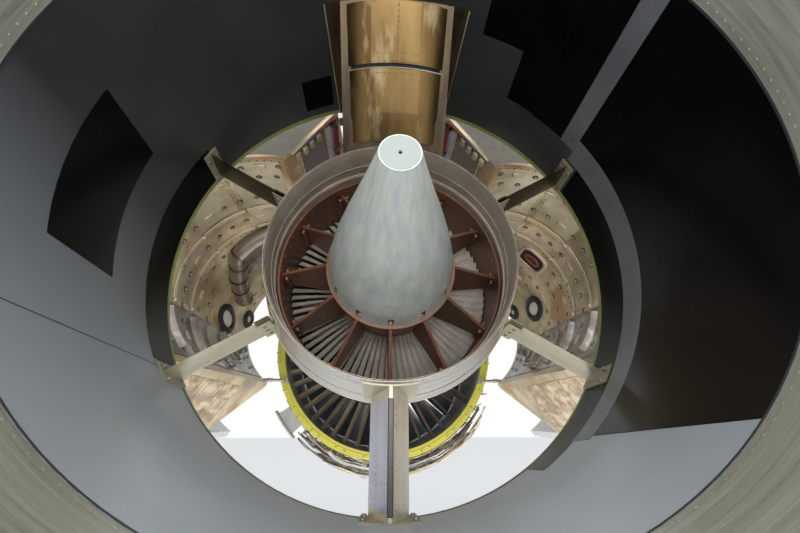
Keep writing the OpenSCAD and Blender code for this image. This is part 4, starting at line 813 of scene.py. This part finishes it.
    # Lower flat wall: sheets, curved ribs, tubes and latches
    sheets = [on_wall(LOWER_FACE - 0.5, -545, -835, z, SHEET_LENGTH, 2, low)
              for z in range(1710, 2600, SHEET_PITCH)]
    blocks(side + "_lower_sheets", sheets, "foil", "wall_gold", body)
    low_rivets = [(flat(LOWER_FACE + 1.8, y, z), low) for y in (-556, -640, -735, -824)
                  for z in range(1725, 2720, 60)]
    buttons(side + "_wall_rivets", rivets, 5, 2.4, "steel", body=body)
    buttons(side + "_low_rivets", low_rivets, 5, 1.4, "steel", body=body)
    lathe(side + "_lower_ribs",
          [([(inner_wall_r(z) + 1, z - 22), (inner_wall_r(z) - 8, z - 22),
             (inner_wall_r(z) - 34, z - 6), (inner_wall_r(z) - 34, z + 6),
             (inner_wall_r(z) - 8, z + 22), (inner_wall_r(z) + 1, z + 22)], 229, 256)
           for z in RIB_STATIONS], "gold_grey", "wall_gold", body, face, bevel=2)
    tube(side + "_drain_tubes",
         [[face(inner_wall_r(z) - 20 - 6 * k, a, z)
           for a, z in ((232, 1330 + 30 * k), (240, 1420), (248, 1560 + 24 * k), (255, 1690),
                        (259, 1850 + 30 * k))] for k in range(4)],
         6, "steel", "bolt_metal", body)
    down = flat(-12, -900, 1500) - flat(-12, -899, 1500)
    latches = [block_on(flat(-34, -DOOR_OUTER_R + 2, z), down, size=(70, 40, 8))
               for z in LATCH_STATIONS]
    blocks(side + "_latches", latches, "steel", "bolt_metal", body, bevel=3)

left_face, right_face = on_door_polar("left"), on_door_polar("right")
elbow = [(112, 2110, 18), (126, 2106, 34), (140, 2100, 40), (155, 2085, 44), (172, 2040, 45),
         (177, 1960, 45), (184, 1850, 44), (189, 1740, 43), (193, 1620, 42)]
elbow_path = [left_face(inner_wall_r(z) - lift, a, z) for a, z, lift in elbow]
ELBOW_R = 54
tube("elbow_duct", [elbow_path], ELBOW_R, "duct_metal", "wall_gold", "left_door", sides=28)
bands = []
for p, q in zip(elbow_path[4:8], elbow_path[3:]):
    d = (q - p).normalized() * 0.007
    bands.append([p - d, p + d])
tube("elbow_bands", bands, ELBOW_R + 5, "bronze_dark", "wall_gold", "left_door", sides=28)
mouth = (elbow_path[-1] - elbow_path[-2]).normalized()
tube("elbow_mouth", [[elbow_path[-1] - mouth * 0.004, elbow_path[-1] + mouth * 0.022]],
     ELBOW_R + 8, "duct_metal", "wall_gold", "left_door", sides=28)
GRILLE_START, GRILLE_PITCH = 1720, 24
ridges = []
for k in range(9):
    z = GRILLE_START + GRILLE_PITCH * k
    ridges.append([left_face(inner_wall_r(z) - 6 - 0.4 * j, 150 + 3.1 * j + 0.6 * k, z)
                   for j in range(9)])
tube("elbow_grille", ridges, 3.5, "steel", "wall_gold", "left_door", sides=6, rounded=False)

# Recessed port on the right door: layers by half width, half length and lift
for word, layers, squared, mat, bevel in (
        ("", [(102, 96, 0), (102, 96, 10), (94, 88, 15), (82, 76, 15), (80, 74, 6)], 0.45,
         "gold_light", 1),
        # The floor of the recess is painted shade
        ("_floor", [(82, 76, 4), (80, 74, 8)], 0.45, "hollow", 0),
        ("_ring", [(60, 40, 7), (60, 40, 13), (54, 34, 16), (44, 26, 16), (42, 24, 12)], 1.0,
         "red_wire", 0),
        ("_core", [(42, 24, 9), (40, 22, 15)], 1.0, "bronze_dark", 0)):
    piece("right_recess" + word, *oval_lip(right_face, RECESS_ANGLE, RECESS, layers, squared),
          mat, "wall_gold", "right_door", bevel)

# Collars on the hold-open rods
PIVOT_R, PIVOT_ANGLE = 845, 239.3
ROD_END, ROD_STATION = (746, -284), 1220
for side in ("left", "right"):
    start = on_door_polar(side)(PIVOT_R, PIVOT_ANGLE, ROD_STATION)
    end = row(-ROD_END[0] if side == "left" else ROD_END[0], ROD_END[1], ROD_STATION)
    run = (end - start).normalized()
    start += row(0, 0, 5)
    collars = [[start + run * (t - 0.02), start + run * (t + 0.02)] for t in (0.10, 0.295, 0.50)]
    tube(side + "_rod_collars", collars, 15, "steel", "bolt_metal", side + "_rod", sides=14)

# Exhaust: bands, beads, weld and rivets of the primary nozzle, bolts and pads, and the cone's cap
# A thin near-black ring in the rim's gap: painted shade
gap = box_ring(PRIMARY_RIM_R + 1.2, PRIMARY_RIM_R + 3.8, PRIMARY_RIM, PRIMARY_RIM + 0.6)
lathe("primary_rim_gap", [gap], "hollow", "nozzle_steel")


def primary_band(z0, z1, lift):
    return ([(primary_out_r(z0) - 1, z0), (primary_out_r(z0) + lift, z0 + 1),
             (primary_out_r(z1) + lift, z1 - 1), (primary_out_r(z1) - 1, z1)], 96, 444)


lathe("primary_bands", [primary_band(PRIMARY_RIM - 16, PRIMARY_RIM - 3, 1.2),
                        primary_band(2850, 2866, 1.6)], "nozzle_out", "nozzle_steel")
primary_in_r = cone_between(EXHAUST_LIP + 12, 451, PRIMARY_RIM, PRIMARY_RIM_R)
lathe("primary_inner_beads",
      [([(primary_in_r(z) + 1, z - 3), (primary_in_r(z) - 1.5, z - 1),
         (primary_in_r(z) - 1.5, z + 1), (primary_in_r(z) + 1, z + 3)], 0, 360)
       for z in (2868, 2880)], "nozzle_in", "nozzle_steel")
heads = [seat(primary_out_r(z) + 1.0, a, z)
         for z in (PRIMARY_RIM - 10, 2858) for a in range(98, 443, 5)]
for a0 in (248, 282):
    for k in range(9):
        heads += [seat(primary_out_r(z) - 0.2, a0 + 1.5 * k + (0.7 if j else 0), z)
                  for j, z in enumerate((2985, 2997))]
buttons("primary_rivets", heads, 3.0, 1.4, "nozzle_out")
WELD = 2935
weld = [on_engine(primary_in_r(WELD) - 0.2, 3 * i, WELD + draw.uniform(-0.8, 0.8))
        for i in range(121)]
tube("primary_weld", [weld], 1.3, "nozzle_out", "nozzle_steel", sides=6, rounded=False)
STRUT_TIP_R, LIP_BOLT_R = 431, 436.6
heads = [seat(LIP_BOLT_R, a, EXHAUST_LIP - 24, out=-1) for a in range(3, 360, 6)]
buttons("exhaust_lip_bolts", heads, 4, 3, "exhaust", slot="hot_steel")
STRUT_ANGLES = range(270, 630, 30)
HUB_START, HUB_LENGTH, HUB_R, HUB_RISE = 2592, 306, 218, 38
heads = [seat(HUB_R + HUB_RISE * dz / HUB_LENGTH, a + swing, HUB_START + dz)
         for a in STRUT_ANGLES for dz in (30, 52, 74) for swing in (-7, 7)]
buttons("exhaust_hub_bolts", heads, 4, 3, "exhaust", slot="hot_steel")
pads = []
for a in STRUT_ANGLES:
    outward = on_engine(1, a, 0)
    for sign in (-1, 1):
        across = on_engine(STRUT_TIP_R, a + sign * 10, 0) - on_engine(STRUT_TIP_R, a, 0)
        pads.append((on_engine(STRUT_TIP_R, a + sign * 1.15, 2680) - outward * 10,
                     row(0, 0, 96), across.normalized() * 16 * MM, outward * 12))
blocks("strut_tip_pads", pads, "exhaust", "hot_steel", bevel=2)
heads = [(on_engine(42, 60 * k + 15, CONE_TIP), row(0, 0, 1)) for k in range(6)]
buttons("cone_cap_screws", heads, 2.0, 0.8, "steel", sides=8)
cap = [(6, CONE_TIP - 0.5), (CONE_TIP_R - 3, CONE_TIP - 0.5), (CONE_TIP_R - 3.6, CONE_TIP + 1),
       (6, CONE_TIP + 1)]
lathe("cone_cap_plate", [(cap, 0, 360)], "cone_cap", "cone_steel")

# Yellow rear ring: pairs of bolts and a seal
heads = [(on_engine(r, 7.5 + 15 * k + swing, RING_FACE - 0.2), row(0, 0, 1))
         for k in range(24) for swing in (-2.4, 2.4) for r in (842, 818)]
buttons("ring_bolts", heads, 4.5, 4, "dark_steel", sides=8)
lathe("ring_seal", [([(804, RING_FACE - 2), (806, RING_FACE + 3), (811, RING_FACE + 3),
                      (813, RING_FACE - 2)], 0, 360)], "yellow", "primer_ring")

# Fan case: flange bolts, many thin pipes with their clamps and posts, boxes, bracket and straps
CASE_FLANGES, STRAP_STATIONS = (116, 524), (60, 880, 940)
heads = [(on_engine(FAN_CASE_R + 8, 5 * k, z), row(0, 0, -1))
         for k in range(72) for z in CASE_FLANGES]
buttons("fan_case_bolts", heads, 5, 6, "steel")
CASE_TAPER, CASE_TAPER_LENGTH = 620, 280
RUN_POINTS = 14
PIPE_STATION, BRACKET_OUT_R = 1130, 958


def case_r(z):
    """The outside of the fan case, which tapers towards its rear ring."""
    taper = (FAN_CASE_R - FAN_CASE_AFT_R) / CASE_TAPER_LENGTH
    return min(FAN_CASE_R, max(FAN_CASE_AFT_R, FAN_CASE_R - (z - CASE_TAPER) * taper))


def round_run(a0, a1, z0, z1, lift, wander):
    """A pipe that runs round the fan case, with a little wander in station and height."""
    pts = []
    for i in range(RUN_POINTS):
        t = i / (RUN_POINTS - 1)
        z = z0 + (z1 - z0) * t + draw.uniform(-wander, wander)
        pts.append(on_engine(case_r(z) + lift + draw.uniform(-wander, wander) * 0.4,
                             a0 + (a1 - a0) * t, z))
    return pts


# Finish, radius and number
PIPE_KINDS = (("steel", 5.0, 20), ("gold_light", 6.5, 13), ("dark_steel", 4.0, 16),
              ("violet", 7.0, 6), ("white", 4.5, 8), ("bronze_dark", 5.5, 14))
for mat, r, count in PIPE_KINDS:
    lines = []
    for k in range(count):
        a0 = draw.uniform(224, 272)
        a1 = a0 + draw.uniform(28, 70)
        z0 = draw.uniform(985, 1150)
        lines.append(round_run(a0, min(a1, 338), z0, z0 + draw.uniform(-45, 30),
                               draw.uniform(36, 140), 9))
    tube("case_pipes_" + mat, lines, r, mat, "pipe_metal", sides=7)
stubs = []
for k in range(46):
    a = draw.uniform(226, 336)
    lift = draw.uniform(30, 90)
    z = draw.uniform(990, 1120)
    foot, bend = on_engine(case_r(z) - 1, a, z), on_engine(case_r(z) + lift * 0.6, a + 0.4, z + 4)
    stubs.append([foot, bend, on_engine(case_r(z) + lift, a + draw.uniform(1, 3),
                                        z + draw.uniform(18, 60))])
tube("case_pipe_ends", stubs, 4.6, "steel", "pipe_metal", sides=7)
supply = [on_engine(case_r(PIPE_STATION) + lift, a, PIPE_STATION) for a, lift in (
    (243, 60), (247, 78), (252, 84), (258, 84), (264, 80), (270, 72), (274, 58))]
tube("pale_supply_pipe", [supply], 15, "white", "pipe_metal", sides=16)
clamps, posts = [], []
for a in range(228, 336, 9):
    for z, lift in ((1010, 62), (1105, 70)):
        clamps.append(block_on(*seat(case_r(z) + lift - 10, a + draw.uniform(-2, 2), z),
                               size=(26, 34, 14)))
        posts.append([on_engine(case_r(z) - 1, a, z), on_engine(case_r(z) + lift, a, z)])
blocks("case_pipe_clamps", clamps, "bronze_dark", "pipe_metal", bevel=2)
tube("case_pipe_posts", posts, 4, "steel", "pipe_metal", sides=7)
boxes = [block_on(*seat(case_r(z) - 1, a, z), size=size) for a, z, size in (
    (212, 1010, (150, 96, 52)), (231, 690, (120, 150, 46)), (320, 760, (180, 130, 60)),
    (332, 420, (220, 160, 56)), (182, 700, (190, 140, 60)), (146, 380, (160, 120, 50)))]
blocks("case_boxes", boxes, "cast", "box_metal", bevel=7)
foot_r = case_r(PIPE_STATION)
bracket = [(foot_r, 1110), (BRACKET_OUT_R, 1110), (BRACKET_OUT_R, 1122), (foot_r + 10, 1122),
           (foot_r + 10, 1158), (foot_r, 1158)]
lathe("case_bracket", [(bracket, 213, 224)], "cast", "box_metal", bevel=2)
edge = box_ring(BRACKET_OUT_R - 10, BRACKET_OUT_R + 4, 1096, 1150, 211.5, 226)
lathe("case_bracket_edge", [edge], "cast", "box_metal", bevel=3)
lathe("case_straps", [box_ring(case_r(z) - 1, case_r(z) + 3, z - 9, z + 9)
                      for z in STRAP_STATIONS], "steel", "case_metal", bevel=0.8)

# Fan: blades with wide leading and trailing edges over the solid ones
FAN_BLADES, FAN_STATION, FAN_ROOT_R, FAN_TIP_R = 22, 290, 240, 805
SECTION_STEPS, BLADE_LEVELS = 12, 9


def fan_section(u):
    """Half outline points (tangential, axial) of a blade at a share u of its span."""
    widen = 1.2 + 0.16 * math.sin(math.pi * u)
    solid_chord, camber, turn = 150 + 85 * u, 12 - 9 * u, math.radians(14 + 44 * u)
    chord, thick = solid_chord * widen, 22 - 13 * u
    bend = camber * widen * widen
    outline = []
    for side, order in ((1, range(SECTION_STEPS + 1)), (-1, range(SECTION_STEPS - 1, 0, -1))):
        for i in order:
            v = i / SECTION_STEPS
            half = max(0.0, math.sin(math.pi * v ** 0.75)) ** 0.8 / 2
            a = bend * 4 * v * (1 - v) - (bend - camber) + side * thick * half
            b = chord * (v - 0.5)
            outline.append((a * math.cos(turn) - b * math.sin(turn),
                            a * math.sin(turn) + b * math.cos(turn)))
    return outline


def fan_blade(angle):
    verts = []
    c, s = math.cos(math.radians(angle)), math.sin(math.radians(angle))
    for level in range(BLADE_LEVELS):
        u = level / (BLADE_LEVELS - 1)
        r = FAN_ROOT_R + 3 + (FAN_TIP_R - 13 - FAN_ROOT_R) * u
        verts += [row(r * c - t * s, r * s + t * c, FAN_STATION + z) for t, z in fan_section(u)]
    return verts, stacked(BLADE_LEVELS, 2 * SECTION_STEPS)


piece("fan_blade_faces", *joined([fan_blade(360 * k / FAN_BLADES) for k in range(FAN_BLADES)]),
      "fan", "fan_metal", "lp_spool")

# Core: flange bolts
CORE_BOLT_R = 362
core_bolts = [(on_engine(CORE_BOLT_R, 6 * k, z), row(0, 0, way))
              for z, way in ((1812, -1), (1834, 1), (2066, -1), (2094, 1)) for k in range(60)]
buttons("core_flange_bolts", core_bolts, 5, 8, "steel")

# Camera, floor, world and lights
CAMERA_PLACE, LENS = (-0.0373, -4.278, -0.5535), 17.22
CAMERA_UP, CAMERA_TURN = 21.69, -2.98
lens = bpy.data.cameras.new("camera")
lens.sensor_width = 36
lens.lens = LENS
lens.clip_start = 0.02
camera = bpy.data.objects.new("camera", lens)
camera.location = CAMERA_PLACE
camera.rotation_euler = (math.radians(90 + CAMERA_UP), 0, math.radians(CAMERA_TURN))
bpy.context.scene.collection.objects.link(camera)
bpy.context.scene.camera = camera

# The world: pure white to the camera and through glass, a pale sky to everything else
world = bpy.data.worlds.new("sky")
bpy.context.scene.world = world
world.use_nodes = True
nt = world.node_tree
sky = nt.nodes["Background"]
fill(nt, sky, {"Color": (0.94, 0.97, 1), "Strength": 0.92})
path = node(nt, "ShaderNodeLightPath", {})
seen = node(nt, "ShaderNodeMath", {0: path["Is Camera Ray"], 1: path["Is Transmission Ray"]},
            operation="MAXIMUM")[0]
plain = node(nt, "ShaderNodeBackground", {"Color": (1, 1, 1)})[0]
choose = node(nt, "ShaderNodeMixShader", {0: seen, 1: sky.outputs[0], 2: plain})[0]
nt.links.new(choose, nt.nodes["World Output"].inputs[0])

bpy.ops.mesh.primitive_plane_add(size=60, location=(0, -2, -1.9))
floor = bpy.context.object
floor.name = "floor"
ground = bpy.data.materials.new("floor")
ground.use_nodes = True
fill(ground.node_tree, ground.node_tree.nodes["Principled BSDF"],
     {"Base Color": (0.86, 0.86, 0.85), "Roughness": 0.8})
floor.data.materials.append(ground)


def lamp(name, place, target, size, watts):
    data = bpy.data.lights.new(name, "AREA")
    data.size = size
    data.energy = watts
    obj = bpy.data.objects.new(name, data)
    obj.location = place
    obj.rotation_euler = (Vector(target) - Vector(place)).to_track_quat("-Z", "Y").to_euler()
    obj.visible_camera = False
    bpy.context.scene.collection.objects.link(obj)


lamp("left_light", (-4.5, -8.5, 3.0), (0, -3, 0), 4, 60)
lamp("right_light", (5, -8, 2.0), (0, -3, 0), 4, 50)
lamp("high_light", (0, -6.5, 3.5), (0, -3.3, -0.8), 3, 60)
lamp("axial_light", (0.1, -9.0, -0.75), (0, -3, 0), 2.4, 150)
lamp("low_left_light", (-0.9, -1.9, -1.75), (-1.0, -2.3, 0.3), 1.6, 13)
lamp("low_right_light", (0.9, -1.9, -1.75), (1.0, -2.3, 0.3), 1.6, 13)

bpy.context.scene.view_settings.view_transform = "Standard"
